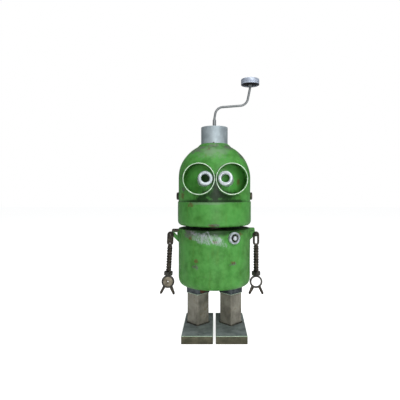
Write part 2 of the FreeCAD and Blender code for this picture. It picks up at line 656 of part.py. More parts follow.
def arm_rod(x, filled):
    """A twisted square bar with a long loop at the shoulder; one loop is filled in below its pin."""
    wire_radius = size("loop_wire") / 2
    half = size("loop_width") / 2 - wire_radius
    top = size("shoulder_pin_height") + size("shoulder_pin_radius") + size("running_gap") + wire_radius - half
    bottom = size("loop_bottom") + wire_radius + half
    y = -size("arm_front")
    left, right = Vector(x - half, y, 0), Vector(x + half, y, 0)
    up, down = Vector(0, 0, top), Vector(0, 0, bottom)
    crown, foot_point = Vector(x, y, top + half), Vector(x, y, bottom - half)
    path = Part.Wire([
        Part.Arc(left + up, crown, right + up).toShape(), Part.makeLine(right + up, right + down),
        Part.Arc(right + down, foot_point, left + down).toShape(), Part.makeLine(left + down, left + up),
    ])
    section = Part.Wire([Part.makeCircle(wire_radius, left + down, Vector(0, 0, 1))])
    loop = path.makePipeShell([section], True, False)

    low, high = size("wrist_height"), size("loop_bottom") + 1
    lead, side = size("bar_lead"), size("bar_side") / 2
    spine = Part.Wire([Part.makeLine(Vector(0, 0, low), Vector(0, 0, high))])
    twist = Part.makeHelix(lead, high - low, 10)
    twist.translate(Vector(0, 0, low))
    corners = [Vector(a * side, b * side, low) for a, b in ((1, 1), (-1, 1), (-1, -1), (1, -1))]
    shell = Part.BRepOffsetAPI.MakePipeShell(spine)
    shell.setAuxiliarySpine(Part.Wire([twist]), True, 0)
    shell.add(Part.makePolygon(corners + corners[:1]), False, False)
    shell.build()
    shell.makeSolid()
    bar = shell.shape()
    bar.translate(Vector(x, y, 0))
    neck = Part.makeCone(2.6, 2.2, 2.5, Vector(x, y, high - 1.2))
    pieces = [loop, neck]
    if filled:
        width, depth = 2 * (half - wire_radius + size("fill_lap")), size("fill_depth")
        pin_bottom = size("shoulder_pin_height") - size("shoulder_pin_radius")
        fill_low, fill_top = bottom - 1, pin_bottom - size("fill_gap")
        corner = Vector(x - width / 2, y - depth / 2, fill_low)
        pieces.append(Part.makeBox(width, depth, fill_top - fill_low, corner))
    return shape_feature(bar.fuse(pieces))


def wrist_nut(x):
    low = "wrist_height - wrist_nut_height"
    flats_outwards = Rotation(Vector(0, 0, 1), 30)
    nut = hexagon("wrist_nut_across", "wrist_nut_height - fit_gap", x, "-1 * arm_front", low, flats_outwards)
    crown = cone("8.4", "6.6", "wrist_nut_height", x, "-1 * arm_front", "wrist_height - wrist_nut_height + 1")
    skirt = cylinder("8.4", "1", x, "-1 * arm_front", low)
    bore = cylinder("wrist_stud_radius + running_gap", "10", x, "-1 * arm_front", "wrist_height - 9")
    return cut(common(nut, fuse(crown, skirt)), bore)


def hand_ring(x):
    """A flat ring with a stud above and two lugs below."""
    y_back = "-1 * arm_front + hand_thick / 2"
    ring = cylinder("hand_radius", "hand_thick", x, y_back, "hand_height", ALONG_MINUS_Y)
    stud_z = "hand_height + hand_radius - 1.5"
    stud = cylinder("wrist_stud_radius", "wrist_stud_length", x, "-1 * arm_front", stud_z)
    bore = cylinder("hand_bore", "10", x, "-1 * arm_front + 5", "hand_height", ALONG_MINUS_Y)
    lugs, holes = [], []
    for sign in (1, -1):
        at = f"{x} + {sign} * finger_offset"
        lugs.append(cylinder("knuckle_radius", "hand_thick", at, y_back, "finger_height", ALONG_MINUS_Y))
        holes.append(cylinder("finger_pin_radius + running_gap", "10", at, "-1 * arm_front + 5",
                              "finger_height",
                              ALONG_MINUS_Y))
    return cut(fuse(ring, stud, *lugs), bore, *holes)


def finger(x, sign):
    """A stubby claw forked over its lug, with its rivet."""
    turn = Rotation(Vector(0, 1, 0), -sign * size("finger_splay"))
    pivot_x, y, z = f"{x} + {sign} * finger_offset", "-1 * arm_front", "finger_height"
    depth, y_back = "hand_thick + 2 * finger_cheek", f"{y} + hand_thick / 2 + finger_cheek"
    knuckle = cylinder("knuckle_radius", depth, pivot_x, y_back, z, ALONG_MINUS_Y)
    corner = turn.multVec(Vector(-size("finger_width") / 2, 0, -size("finger_length")))
    bar = box("finger_width", depth, "finger_length", f"{pivot_x} + {corner.x:.6f}",
              f"{y} - hand_thick / 2 - finger_cheek", f"{z} + {corner.z:.6f}", turn)
    tip_at = turn.multVec(Vector(0, 0, -size("finger_length")))
    tip = cylinder("finger_width / 2", depth, f"{pivot_x} + {tip_at.x:.6f}", y_back, f"{z} + {tip_at.z:.6f}",
                   ALONG_MINUS_Y)
    back = f"{y} + hand_thick / 2 + 0.15"
    fork = cylinder("fork_radius", "hand_thick + 0.3", pivot_x, back, z, ALONG_MINUS_Y)
    rivet = cylinder("finger_pin_radius", depth + " + 0.6", pivot_x, f"{y_back} + 0.3", z, ALONG_MINUS_Y)
    return fuse(cut(fuse(knuckle, bar, tip), fork), rivet)


def palm_disc(x):
    """A shielded bearing pressed into the hand ring."""
    y = "-1 * arm_front + hand_thick / 2"
    disc = cylinder("hand_bore - fit_gap", "hand_thick - 0.6", x, f"{y} - 0.3", "hand_height", ALONG_MINUS_Y)
    boss = cylinder("3.2", "hand_thick + 1.6", x, f"{y} + 0.8", "hand_height", ALONG_MINUS_Y)
    bore = cylinder("1.2", "20", x, "-1 * arm_front + 10", "hand_height", ALONG_MINUS_Y)
    return cut(fuse(disc, boss), bore)


def hang(side, obj):
    """Lets a piece of an arm lean outwards about its shoulder pin."""
    if side == "right":
        pin = Vector(-size("right_arm_offset"), 0, size("shoulder_pin_height"))
        obj.Placement = Placement(Vector(), Rotation(Vector(0, 1, 0), size("right_arm_lean")), pin)
    return obj


def arm_pieces():
    for side, sign in (("left", 1), ("right", -1)):
        x = f"{sign} * {side}_arm_offset"
        pieces = {
            "_arm_rod": arm_rod(sign * size(side + "_arm_offset"), side == "right"),
            "_wrist_nut": wrist_nut(x),
            "_hand_ring": hand_ring(x),
            "_outer_finger": finger(x, sign),
            "_inner_finger": finger(x, -sign),
        }
        if side == "right":
            pieces["_palm_disc"] = palm_disc(x)
        for name, piece in pieces.items():
            subpart(side + name, hang(side, piece))


# ---------------------------------------------------------------- musical movement


def gear_blank(module, teeth, thick, turn_deg=0.0, backlash=0.12):
    """A spur gear with involute flanks, thinned for running play."""
    pitch, base = module * teeth / 2, module * teeth / 2 * math.cos(math.radians(20))
    root, tip = pitch - 1.25 * module, pitch + 0.95 * module

    def involute_angle(radius):
        ratio = min(1.0, base / radius)
        return math.tan(math.acos(ratio)) - math.acos(ratio)

    half_tooth = math.pi / (2 * teeth) - backlash / (2 * pitch) + involute_angle(pitch)
    radii = [max(root, base) + (tip - max(root, base)) * k / 4 for k in range(5)]
    flank = [(r, half_tooth - involute_angle(r)) for r in radii]
    if base > root:
        flank.insert(0, (root, flank[0][1]))
    points = []
    for tooth in range(teeth):
        middle = 2 * math.pi * tooth / teeth + math.radians(turn_deg)
        for r, a in flank:
            points.append(Vector(r * math.cos(middle - a), r * math.sin(middle - a), 0))
        for r, a in reversed(flank):
            points.append(Vector(r * math.cos(middle + a), r * math.sin(middle + a), 0))
    face = Part.Face(Part.makePolygon(points + points[:1]))
    return face.extrude(Vector(0, 0, thick))


def plates():
    """Two round plates with pivot holes for the arbors."""
    for name, z in (("movement_top_plate", "plate_high"), ("movement_bottom_plate", "plate_low")):
        disc = cylinder("plate_radius", "plate_thick", z=z)
        shaft = cylinder("shaft_radius + running_gap", "10", z=f"{z} - 4")
        arbor = cylinder("arbor_radius + running_gap", "10", "0", "gear_distance", f"{z} - 4")
        governor_x, governor_y = governor_axis()
        governor = cylinder("arbor_radius + running_gap", "10", governor_x, governor_y, f"{z} - 4")
        subpart(name, cut(disc, shaft, arbor, governor))


def governor_axis():
    angle = math.radians(size("governor_angle"))
    return f"fine_distance * {math.cos(angle):.6f}", f"gear_distance + fine_distance * {math.sin(angle):.6f}"


PILLAR_ANGLES = (18, 162, 225, 315)


def on_pillars(make):
    pieces = []
    for angle in PILLAR_ANGLES:
        x = f"pillar_circle * {math.cos(math.radians(angle)):.6f}"
        y = f"pillar_circle * {math.sin(math.radians(angle)):.6f}"
        pieces.append(make(x, y))
    return group(*pieces)


def frame_pieces():
    plates()
    height = "plate_high - plate_low - plate_thick"
    foot_z, top_z = "plate_low + plate_thick", "plate_high + plate_thick"
    subpart("movement_pillars", on_pillars(lambda x, y: cylinder("pillar_radius", height, x, y, foot_z)))
    subpart("movement_screws", on_pillars(lambda x, y: cylinder("pillar_radius - 0.3", "1.4", x, y, top_z)))


def hanger_lugs():
    """Three blocks welded inside the dome that carry the top plate."""
    lugs = []
    inside = dome_envelope("-1 * dome_wall - fit_gap")
    for angle in (90, 200, 340):
        turn = Rotation(Vector(0, 0, 1), angle)
        corner = turn.multVec(Vector(37, -5, 0))
        lug = box("20", "10", "6", f"{corner.x:.6f}", f"{corner.y:.6f}", "plate_high + plate_thick", turn)
        lugs.append(common(lug, inside))
    subpart("hanger_lugs", group(*lugs))


def barrel():
    """The spring barrel and the great wheel round its foot, free on the winding shaft."""
    low = size("plate_low") + size("plate_thick") + size("wheel_gap")
    wheel = gear_blank(size("gear_module"), int(size("great_teeth")), size("gear_thick"))
    wheel = wheel.cut(Part.makeCylinder(size("shaft_radius") + size("running_gap"), 20, Vector(0, 0, -5)))
    feature = shape_feature(wheel)
    feature.Placement = Placement(Vector(0, 0, low), Rotation())
    subpart("great_wheel", feature)
    floor = "plate_low + plate_thick + wheel_gap + gear_thick"
    drum = cylinder("drum_radius", "drum_height", z=floor)
    hollow = cylinder("drum_radius - drum_wall", "drum_height - 2 * drum_wall", z=f"{floor} + drum_wall")
    bore = cylinder("shaft_radius + running_gap", "40", z="plate_low")
    subpart("barrel_drum", cut(drum, hollow, bore))


def mainspring():
    """A flat strip coiled between the shaft and the barrel wall."""
    wheel_top = size("plate_low") + size("plate_thick") + size("wheel_gap") + size("gear_thick")
    floor = wheel_top + size("drum_wall") + 0.4
    inner, outer = size("shaft_radius") + 0.5, size("drum_radius") - 1.4
    turns, strip, step = 9, 0.5, 24
    count = turns * step
    near, far = [], []
    for k in range(count + 1):
        angle = 2 * math.pi * k / step
        radius = inner + (outer - inner - strip) * k / count
        near.append(Vector(radius * math.cos(angle), radius * math.sin(angle), 0))
        far.append(Vector((radius + strip) * math.cos(angle), (radius + strip) * math.sin(angle), 0))
    sides = []
    for points in (near, far):
        curve = Part.BSplineCurve()
        curve.interpolate(points)
        sides.append(curve.toShape())
    ends = [Part.makeLine(near[0], far[0]), Part.makeLine(near[-1], far[-1])]
    face = Part.Face(Part.Wire(Part.__sortEdges__(sides + ends)))
    coil = face.extrude(Vector(0, 0, size("drum_height") - 3.4))
    feature = shape_feature(coil)
    feature.Placement = Placement(Vector(0, 0, floor), Rotation())
    subpart("mainspring", feature)


def clutch_spring():
    """A wire wound on the shaft that lets it turn one way only."""
    wire = 0.45
    turns_height = 5.5
    z = size("plate_high") - turns_height - wire
    helix = Part.makeHelix(1.1, turns_height, size("shaft_radius") + wire + 0.1)
    helix.translate(Vector(0, 0, z))
    start = helix.Vertexes[0].Point
    section = Part.Wire([Part.makeCircle(wire, start, Vector(0, 1, 0.1))])
    coil = Part.Wire([helix]).makePipeShell([section], True, True)
    subpart("clutch_spring", shape_feature(coil))


def music_cylinder():
    """The pinned cylinder, its arbor, the pinion that drives it and the wheel that drives the governor."""
    y = size("gear_distance")
    low = size("plate_low") + size("plate_thick")
    drum_low = low + size("wheel_gap") + size("gear_thick") + 1.5
    radius, length = size("cylinder_radius"), size("cylinder_length")
    drum = Part.makeCylinder(radius, length, Vector(0, 0, drum_low))
    rows = int(size("comb_teeth"))
    pins = []
    for row in range(rows):
        z = drum_low + length * (row + 0.5) / rows
        for k in range(3):
            angle = math.radians(137.5 * (3 * row + k))
            pin = Part.makeBox(0.4, 0.4, 0.4, Vector(radius - 0.1, -0.2, z - 0.2))
            pin.rotate(Vector(), Vector(0, 0, 1), math.degrees(angle))
            pins.append(pin)
    drum = drum.fuse(pins).cut(Part.makeCylinder(size("arbor_radius"), 60, Vector(0, 0, low - 10)))
    feature = shape_feature(drum)
    feature.Placement = Placement(Vector(0, y, 0), Rotation())
    subpart("music_cylinder", feature)

    length = size("plate_high") - low + 2 * size("pivot_length")
    arbor = Part.makeCylinder(size("arbor_radius"), length, Vector(0, 0, low - size("pivot_length")))
    teeth = int(size("pinion_teeth"))
    pinion = gear_blank(size("gear_module"), teeth, size("gear_thick"), -90 + 180 / teeth)
    great_turn = 90 * size("great_teeth") / 360 % 1
    pinion.rotate(Vector(), Vector(0, 0, 1), great_turn * 360 / teeth)
    pinion.translate(Vector(0, 0, low + size("wheel_gap")))
    wheel = gear_blank(size("fine_module"), int(size("wheel_teeth")), 1.5, backlash=0.1)
    wheel.translate(Vector(0, 0, size("plate_high") - 3.5))
    arbor = arbor.fuse([pinion, wheel])
    feature = shape_feature(arbor)
    feature.Placement = Placement(Vector(0, y, 0), Rotation())
    subpart("cylinder_arbor", feature)


def governor():
    """A thin arbor with a pinion and a two-bladed air brake."""
    angle = size("governor_angle")
    x = size("fine_distance") * math.cos(math.radians(angle))
    y = size("gear_distance") + size("fine_distance") * math.sin(math.radians(angle))
    low, high = size("plate_low") + size("plate_thick"), size("plate_high")
    teeth, wheel_teeth = int(size("governor_teeth")), size("wheel_teeth")
    pivot = size("pivot_length")
    arbor = Part.makeCylinder(size("arbor_radius"), high - low + 2 * pivot, Vector(0, 0, low - pivot))
    # The wheel's tooth phase on the line of centres, carried over to the pinion's gap.
    phase = angle * wheel_teeth / 360 % 1
    pinion = gear_blank(size("fine_module"), teeth, 2.5, angle + 180 + 180 / teeth, backlash=0.1)
    pinion.rotate(Vector(), Vector(0, 0, 1), phase * 360 / teeth)
    pinion.translate(Vector(0, 0, high - 4))
    blade = Part.makeBox(9.2, 0.5, 13, Vector(-4.6, -0.25, low + 6))
    hub = Part.makeCylinder(1.8, 13, Vector(0, 0, low + 6))
    feature = shape_feature(arbor.fuse([pinion, blade, hub]))
    feature.Placement = Placement(Vector(x, y, 0), Rotation())
    subpart("governor", feature)


def comb():
    """A steel comb whose teeth reach the cylinder's pins, on its own base."""
    y = size("gear_distance")
    low = size("plate_low") + size("plate_thick")
    z = low + size("wheel_gap") + size("gear_thick") + 1.5
    length, rows = size("cylinder_length"), int(size("comb_teeth"))
    tip, root, back = size("cylinder_radius") + 0.6, 19.5, 27.0
    plate = Part.makeBox(back - tip, 1, length, Vector(tip, -0.5, z))
    pitch = length / rows
    slits = [Part.makeBox(root - tip, 3, 0.25, Vector(tip - 0.5, -1.5, z + pitch * k - 0.125))
             for k in range(1, rows)]
    feature = shape_feature(plate.cut(slits))
    feature.Placement = Placement(Vector(0, y, 0), Rotation())
    subpart("comb", feature)
    tall = size("plate_high") - low
    block = Part.makeBox(back - root - 0.5, 4, tall, Vector(root + 0.5, 0.5, low))
    feature = shape_feature(block)
    feature.Placement = Placement(Vector(0, y - 5.02, 0), Rotation())
    subpart("comb_base", feature)


def movement_pieces():
    frame_pieces()
    hanger_lugs()
    barrel()
    mainspring()
    clutch_spring()
    music_cylinder()
    governor()
    comb()


def check_document():
    """Stops if any object failed, or a sub-part has no sound shape."""
    for obj in doc.Objects:
        if "Invalid" in obj.State or "Error" in obj.State:
            raise RuntimeError(f"{obj.Name} ({obj.Label}) failed: {obj.State}")
    for obj in subparts:
        if obj.Shape.isNull() or not obj.Shape.isValid() or not obj.Shape.Solids:
            raise RuntimeError(f"{obj.Label} has no valid solid")


legs_and_feet()
body_pieces()
head_pieces()
crank_pieces()
arm_pieces()
movement_pieces()
doc.recompute()
check_document()
os.makedirs("parts", exist_ok=True)
for obj in subparts:
    obj.Shape.exportStep(f"parts/{obj.Label}.step")
print(len(subparts), "sub-parts written")
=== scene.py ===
import json
import math

import bmesh
import bpy
from mathutils import Matrix, Vector, noise


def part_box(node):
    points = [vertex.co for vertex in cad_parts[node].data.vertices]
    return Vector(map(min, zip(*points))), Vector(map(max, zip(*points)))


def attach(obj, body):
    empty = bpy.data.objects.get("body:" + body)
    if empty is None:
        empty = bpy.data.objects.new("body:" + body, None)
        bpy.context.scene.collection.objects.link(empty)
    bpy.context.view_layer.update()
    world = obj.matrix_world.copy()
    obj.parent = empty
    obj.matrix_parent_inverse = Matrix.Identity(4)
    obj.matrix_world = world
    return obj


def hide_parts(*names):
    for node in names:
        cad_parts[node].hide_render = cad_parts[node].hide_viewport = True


# Looks of the crank-wound robot figure. Lengths in the helpers are millimetres in the row frame:
# +Z up, the face along -Y, the figure's left side at +X.

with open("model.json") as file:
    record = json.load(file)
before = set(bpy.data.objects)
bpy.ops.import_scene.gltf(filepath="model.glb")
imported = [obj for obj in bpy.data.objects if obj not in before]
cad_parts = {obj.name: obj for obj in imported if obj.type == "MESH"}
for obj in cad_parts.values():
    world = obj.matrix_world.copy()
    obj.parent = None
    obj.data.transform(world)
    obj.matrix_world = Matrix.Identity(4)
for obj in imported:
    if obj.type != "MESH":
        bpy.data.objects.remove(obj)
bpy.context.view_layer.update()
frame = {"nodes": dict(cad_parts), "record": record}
MM = 0.001


def span(node):
    """Lowest and highest corner of a CAD node, in millimetres."""
    low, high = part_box(node)
    return low / MM, high / MM


def middle(node):
    low, high = span(node)
    return (low + high) / 2


def half_width(node):
    low, high = span(node)
    return (high.x - low.x) / 2


# Places that several pieces share.
ALONG_Y = Matrix.Rotation(math.radians(90), 4, "X")    # local +Z points to -Y
BACKWARDS = Matrix.Rotation(math.radians(-90), 4, "X")    # local +Z points to +Y
PIN_HEIGHT = middle("shoulder_pins").z
NECK_HOLE, KNOB_BORE = 5.05, 1.9
HAND_HEIGHT, KNUCKLE_HEIGHT, KNUCKLE_OFFSET = 77.4, 68, 6
ARM_DEPTH = -3.4    # the arm rods hang this far in front of the shoulder pins' middle
PIN_RADIUS = 1.45
FACE_HEIGHT = middle("left_goggle").z
FACE = (middle("left_goggle") + middle("right_goggle")) / 2
DOME_RADIUS, DOME_WAIST, DOME_RISE = 56.8, 241.7, 55.1
ARM_OFFSET = {"left": middle("left_arm_rod").x, "right": 69.6}
SHOULDER = Matrix.Translation((-ARM_OFFSET["right"], 0, PIN_HEIGHT))
ARM_HANG = {"left": Matrix.Identity(4),
            "right": SHOULDER @ Matrix.Rotation(math.radians(3.1), 4, "Y") @ SHOULDER.inverted()}


# ---------------------------------------------------------------- shapes


def skin(rings, ends="cap", material=0):
    """Quads over rings of equal point count; ends is 'cap', 'open' or 'loop'."""
    count = len(rings[0])
    points = [Vector(p) for ring in rings for p in ring]
    faces = []
    for i in range(len(rings) if ends == "loop" else len(rings) - 1):
        a, b = i * count, (i + 1) % len(rings) * count
        for k in range(count):
            n = (k + 1) % count
            faces.append((a + k, a + n, b + n, b + k))
    if ends == "cap":
        faces.append(tuple(range(count)))
        faces.append(tuple(len(points) - 1 - k for k in range(count)))
    return [(points, faces, material)]


def moved(shape, matrix):
    return [([matrix @ p for p in points], faces, m) for points, faces, m in shape]


def shifted(shape, x=0.0, y=0.0, z=0.0):
    return moved(shape, Matrix.Translation((x, y, z)))


def rounded(corners, steps=5):
    """A closed outline of (a, b, radius) corners with each corner rounded."""
    outline = []
    for i, (a, b, radius) in enumerate(corners):
        corner = Vector((a, b))
        before = Vector(corners[i - 1][:2]) - corner
        after = Vector(corners[(i + 1) % len(corners)][:2]) - corner
        if radius <= 0 or before.length < 1e-9 or after.length < 1e-9:
            outline.append((a, b))
            continue
        half = before.angle(after) / 2
        reach = min(radius / math.tan(half), before.length * 0.49, after.length * 0.49)
        start, end = corner + before.normalized() * reach, corner + after.normalized() * reach
        for k in range(steps + 1):
            t = k / steps
            p = start * (1 - t) ** 2 + corner * 2 * t * (1 - t) + end * t ** 2
            outline.append((p.x, p.y))
    return outline


def densified(outline, step):
    """Adds points along the straight runs of a closed outline."""
    result = []
    for i, p in enumerate(outline):
        q = outline[(i + 1) % len(outline)]
        length = math.dist(p, q)
        pieces = max(1, int(length / step))
        for k in range(pieces):
            t = k / pieces
            result.append((p[0] + (q[0] - p[0]) * t, p[1] + (q[1] - p[1]) * t))
    return result


def angles(count):
    """Evenly spaced angles round a full turn."""
    return [2 * math.pi * k / count for k in range(count)]


def lathe(outline, segments=96):
    """Turns a closed outline of (radius, height) about the Z axis."""
    rings = [[(r * math.cos(a), r * math.sin(a), z) for r, z in outline] for a in angles(segments)]
    return skin(rings, "loop")


def turned(corners, steps, segments):
    """A turned ring whose section has rounded corners."""
    return lathe(rounded(corners, steps), segments)


def washer(inner, outer, low, high, edge=0.3, segments=64):
    """A round ring, or a disc when inner is zero, with softened edges."""
    inner_edge = edge if inner > 0 else 0
    corners = [(inner, low, inner_edge), (outer, low, edge), (outer, high, edge), (inner, high, inner_edge)]
    return turned(corners, 4, segments)


def rod(path, radius, sides=16, ends="cap"):
    """A tube along a path; radius is a number or a function of the distance along it."""
    path = [Vector(p) for p in path]
    count = len(path)
    rings, along = [], 0.0
    normal = None
    for i, p in enumerate(path):
        ahead = path[(i + 1) % count] if ends == "loop" or i < count - 1 else p
        behind = path[i - 1] if ends == "loop" or i > 0 else p
        tangent = (ahead - behind).normalized()
        if normal is None:
            normal = tangent.orthogonal().normalized()
        normal = (normal - tangent * normal.dot(tangent)).normalized()
        side = tangent.cross(normal)
        r = radius(along) if callable(radius) else radius
        rings.append([p + normal * (r * math.cos(a)) + side * (r * math.sin(a)) for a in angles(sides)])
        if i < count - 1:
            along += (path[i + 1] - p).length
    return skin(rings, ends)


def bead(path, radius, closed=False):
    """A weld bead: overlapping ripples along a path."""
    spacing = radius * 0.5
    path = resampled(path, radius * 0.22, closed)

    def ripple(along):
        phase = along / spacing
        step = phase - math.floor(phase)
        wobble = noise.noise(Vector((along * 0.35, radius, 3.7)))
        return radius * (0.84 + 0.2 * math.sqrt(1 - step) + 0.16 * wobble)

    return rod(path, ripple, 10, "loop" if closed else "cap")


def resampled(path, step, closed=False):
    """The same path with points at even distances."""
    path = [Vector(p) for p in path]
    if closed:
        path = path + path[:1]
    result = []
    for a, b in zip(path, path[1:]):
        pieces = max(1, round((b - a).length / step))
        result += [a.lerp(b, k / pieces) for k in range(pieces)]
    return result if closed else result + path[-1:]


def prism(outline, low, high):
    """An outline of (x, z) corners as a plate between two depths along Y."""
    front = [Vector((x, low, z)) for x, z in outline]
    back = [Vector((x, high, z)) for x, z in outline]
    return skin([front, back])


def slab(outline_of, levels, material=0, floor=False, roof=False):
    """Level rings with the end faces asked for; outline_of gives a ring's (x, y) corners for an inset."""
    rings = [[(x, y, z) for x, y in outline_of(inset)] for z, inset in levels]
    points, faces, _ = skin(rings)[0]
    kept = faces[:-2] + faces[-2:-1] * floor + faces[-1:] * roof
    return [(points, kept, material)]


def hexagon_nut(across, low, high, bore, points=72):
    """A nut or, when bore is zero, a bolt head, with its corners turned off."""
    reach = across / math.sqrt(3)
    height = high - low

    def ring(z, limit):
        result = []
        for angle in angles(points):
            flat = (angle + math.pi / 6) % (math.pi / 3) - math.pi / 6
            r = min(across / 2 / math.cos(math.pi / 6 - abs(flat)), limit)
            result.append((r * math.cos(angle), r * math.sin(angle), z))
        return result

    face = across / 2 * 0.96
    drop = (reach - face) * 0.55
    outer = [ring(low, face), ring(low + drop * 0.3, face + (reach - face) * 0.55), ring(low + drop, reach),
             ring(high - drop, reach), ring(high - drop * 0.3, face + (reach - face) * 0.55),
             ring(high, face)]
    if bore <= 0:
        return skin(outer)
    lip = min(0.5, height / 6)
    inner = [ring(high, bore + lip), ring(high - lip, bore), ring(low + lip, bore), ring(low, bore + lip)]
    return skin(outer + inner, "loop")


def between(low, high, rise, fall):
    """A share that is 0 outside two heights and climbs to 1 between them."""
    return lambda z: min(1, max(0, (z - low) / rise)) * min(1, max(0, (high - z) / fall))


def swelled(shape, amount):
    """Moves each point away from the Z axis by amount(point, radius)."""
    def pushed(p):
        radius = math.hypot(p.x, p.y)
        push = amount(p, radius)
        return Vector((p.x * (1 + push / radius), p.y * (1 + push / radius), p.z)) if push else p
    return [([pushed(p) for p in points], faces, m) for points, faces, m in shape]


def dented(shape, depth, size, keep=lambda z: 1):
    """Pushes a turned shape in and out by small amounts; keep scales it by height."""
    return swelled(shape, lambda p, radius: radius > 1e-3 and depth * keep(p.z) * noise.noise(p / size))


def linked(name, data):
    obj = bpy.data.objects.new(name, data)
    bpy.context.scene.collection.objects.link(obj)
    return obj


def piece(name, body, shape, materials, nodes=(), sharp=32, bevel=0.0):
    """Makes one object of shapes, riding on a CAD body and standing for CAD nodes."""
    points, faces, indices = [], [], []
    for part_points, part_faces, material in shape:
        start = len(points)
        points += [p * MM for p in part_points]
        faces += [tuple(start + i for i in face) for face in part_faces]
        indices += [material] * len(part_faces)
    mesh = bpy.data.meshes.new(name)
    mesh.from_pydata(points, [], faces)
    for polygon, index in zip(mesh.polygons, indices):
        polygon.material_index = index
    work = bmesh.new()
    work.from_mesh(mesh)
    bmesh.ops.remove_doubles(work, verts=work.verts, dist=1e-7)
    bmesh.ops.dissolve_degenerate(work, edges=work.edges, dist=1e-8)
    bmesh.ops.recalc_face_normals(work, faces=work.faces)
    work.to_mesh(mesh)
    work.free()
    mesh.shade_smooth()
    mesh.set_sharp_from_angle(angle=math.radians(sharp))
    for material in materials if isinstance(materials, list) else [materials]:
        mesh.materials.append(material)
    obj = linked(name, mesh)
    if bevel:
        soften = obj.modifiers.new("Edges", "BEVEL")
        soften.width = bevel * MM
        soften.segments = 3
        soften.limit_method = "ANGLE"
        soften.angle_limit = math.radians(30)
        soften.harden_normals = True
    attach(obj, body)
    if nodes:
        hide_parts(*nodes)
    return obj


# ---------------------------------------------------------------- materials


def srgb(red, green, blue):
    """A display colour in 0-255 as a linear colour."""
    def linear(c):
        c /= 255
        return c / 12.92 if c <= 0.04045 else ((c + 0.055) / 1.055) ** 2.4
    return (linear(red), linear(green), linear(blue), 1.0)


class Surface:
    """A material and the few kinds of node that its recipes use."""

    def __init__(self, name):
        self.material = bpy.data.materials.new(name)
        self.material.use_nodes = True
        self.tree = self.material.node_tree
        self.shader = self.tree.nodes["Principled BSDF"]
        where = self.add("ShaderNodeTexCoord").outputs["Object"]
        in_millimetres = self.add("ShaderNodeVectorMath", {0: where, "Scale": 1 / MM}, operation="SCALE")
        self.place = in_millimetres.outputs[0]

    def feed(self, socket, value):
        if isinstance(value, bpy.types.NodeSocket):
            self.tree.links.new(value, socket)
        else:
            socket.default_value = value

    def add(self, kind, inputs=None, **settings):
        """A node with its settings, and with its inputs linked or set."""
        node = self.tree.nodes.new(kind)
        for name, value in settings.items():
            setattr(node, name, value)
        for socket, value in (inputs or {}).items():
            self.feed(node.inputs[socket], value)
        return node

    def maths(self, operation, a, b=0.0):
        return self.add("ShaderNodeMath", {0: a, 1: b}, operation=operation).outputs[0]

    def scaled(self, value, factor, offset):
        inputs = {0: value, 1: factor, 2: offset}
        return self.add("ShaderNodeMath", inputs, operation="MULTIPLY_ADD").outputs[0]

    def times(self, a, b):
        return self.maths("MULTIPLY", a, b)

    def either(self, *masks):
        result = masks[0]
        for mask in masks[1:]:
            result = self.maths("MAXIMUM", result, mask)
        return result

    def stretched(self, along, turn=(0, 0, 0), centre=(0, 0, 0)):
        """The position, measured from a centre, squeezed along each axis and turned."""
        turn = [math.radians(a) for a in turn]
        inputs = {"Vector": self.place, "Location": centre, "Rotation": turn, "Scale": along}
        return self.add("ShaderNodeMapping", inputs, vector_type="TEXTURE").outputs[0]

    def grain(self, size, detail=3.0, roughness=0.55, where=None):
        """Noise whose features are about a size in millimetres."""
        inputs = {"Vector": where or self.place, "Scale": 1 / size, "Detail": detail, "Roughness": roughness}
        return self.add("ShaderNodeTexNoise", inputs).outputs["Fac"]

    def fade(self, value, low, high):
        """0 below low, 1 above high, smooth between; the other way round if low is above high."""
        flipped = low > high
        inputs = {"Value": value, "From Min": min(low, high), "From Max": max(low, high),
                  "To Min": float(flipped), "To Max": float(not flipped)}
        return self.add("ShaderNodeMapRange", inputs, interpolation_type="SMOOTHSTEP").outputs["Result"]

    def blend(self, mask, a, b):
        return self.add("ShaderNodeMix", {"Factor": mask, 6: a, 7: b}, data_type="RGBA").outputs[2]

    def axis(self, name):
        return self.add("ShaderNodeSeparateXYZ", {0: self.place}).outputs[name]

    def patch(self, centre, radii, ragged=0.5, soft=0.25, turn=0.0, size=2.6):
        """A ragged spot round a point."""
        inside = self.stretched(radii, (0, turn, 0), centre)
        length = self.add("ShaderNodeVectorMath", {0: inside}, operation="LENGTH").outputs["Value"]
        edge = self.scaled(self.grain(size, 4, 0.65), ragged * 2, -ragged)
        bays = self.scaled(self.grain(max(radii) * 0.55, 2), ragged * 4, -ragged * 2)
        shape = self.maths("ADD", length, self.maths("ADD", edge, bays))
        return self.fade(shape, 1 + soft, 1 - soft)

    def finish(self, colour, rough, metallic=0.0, height=None, depth=0.05, shine=0.5):
        inputs = {"Base Color": colour, "Roughness": rough, "Metallic": metallic, "Specular IOR Level": shine}
        if height is not None:
            bump = {"Distance": depth * MM, "Strength": 1.0, "Height": height}
            inputs["Normal"] = self.add("ShaderNodeBump", bump).outputs[0]
        for socket, value in inputs.items():
            self.feed(self.shader.inputs[socket], value)
        return self.material


LEAF = srgb(76, 150, 66)
LEAF_LIGHT = srgb(98, 170, 84)
LEAF_DARK = srgb(58, 120, 44)
BARE = srgb(128, 124, 128)
BARE_DARK = srgb(84, 80, 80)
RUST = srgb(124, 74, 44)
RUST_DARK = srgb(82, 52, 40)
SILVER = srgb(198, 200, 214)


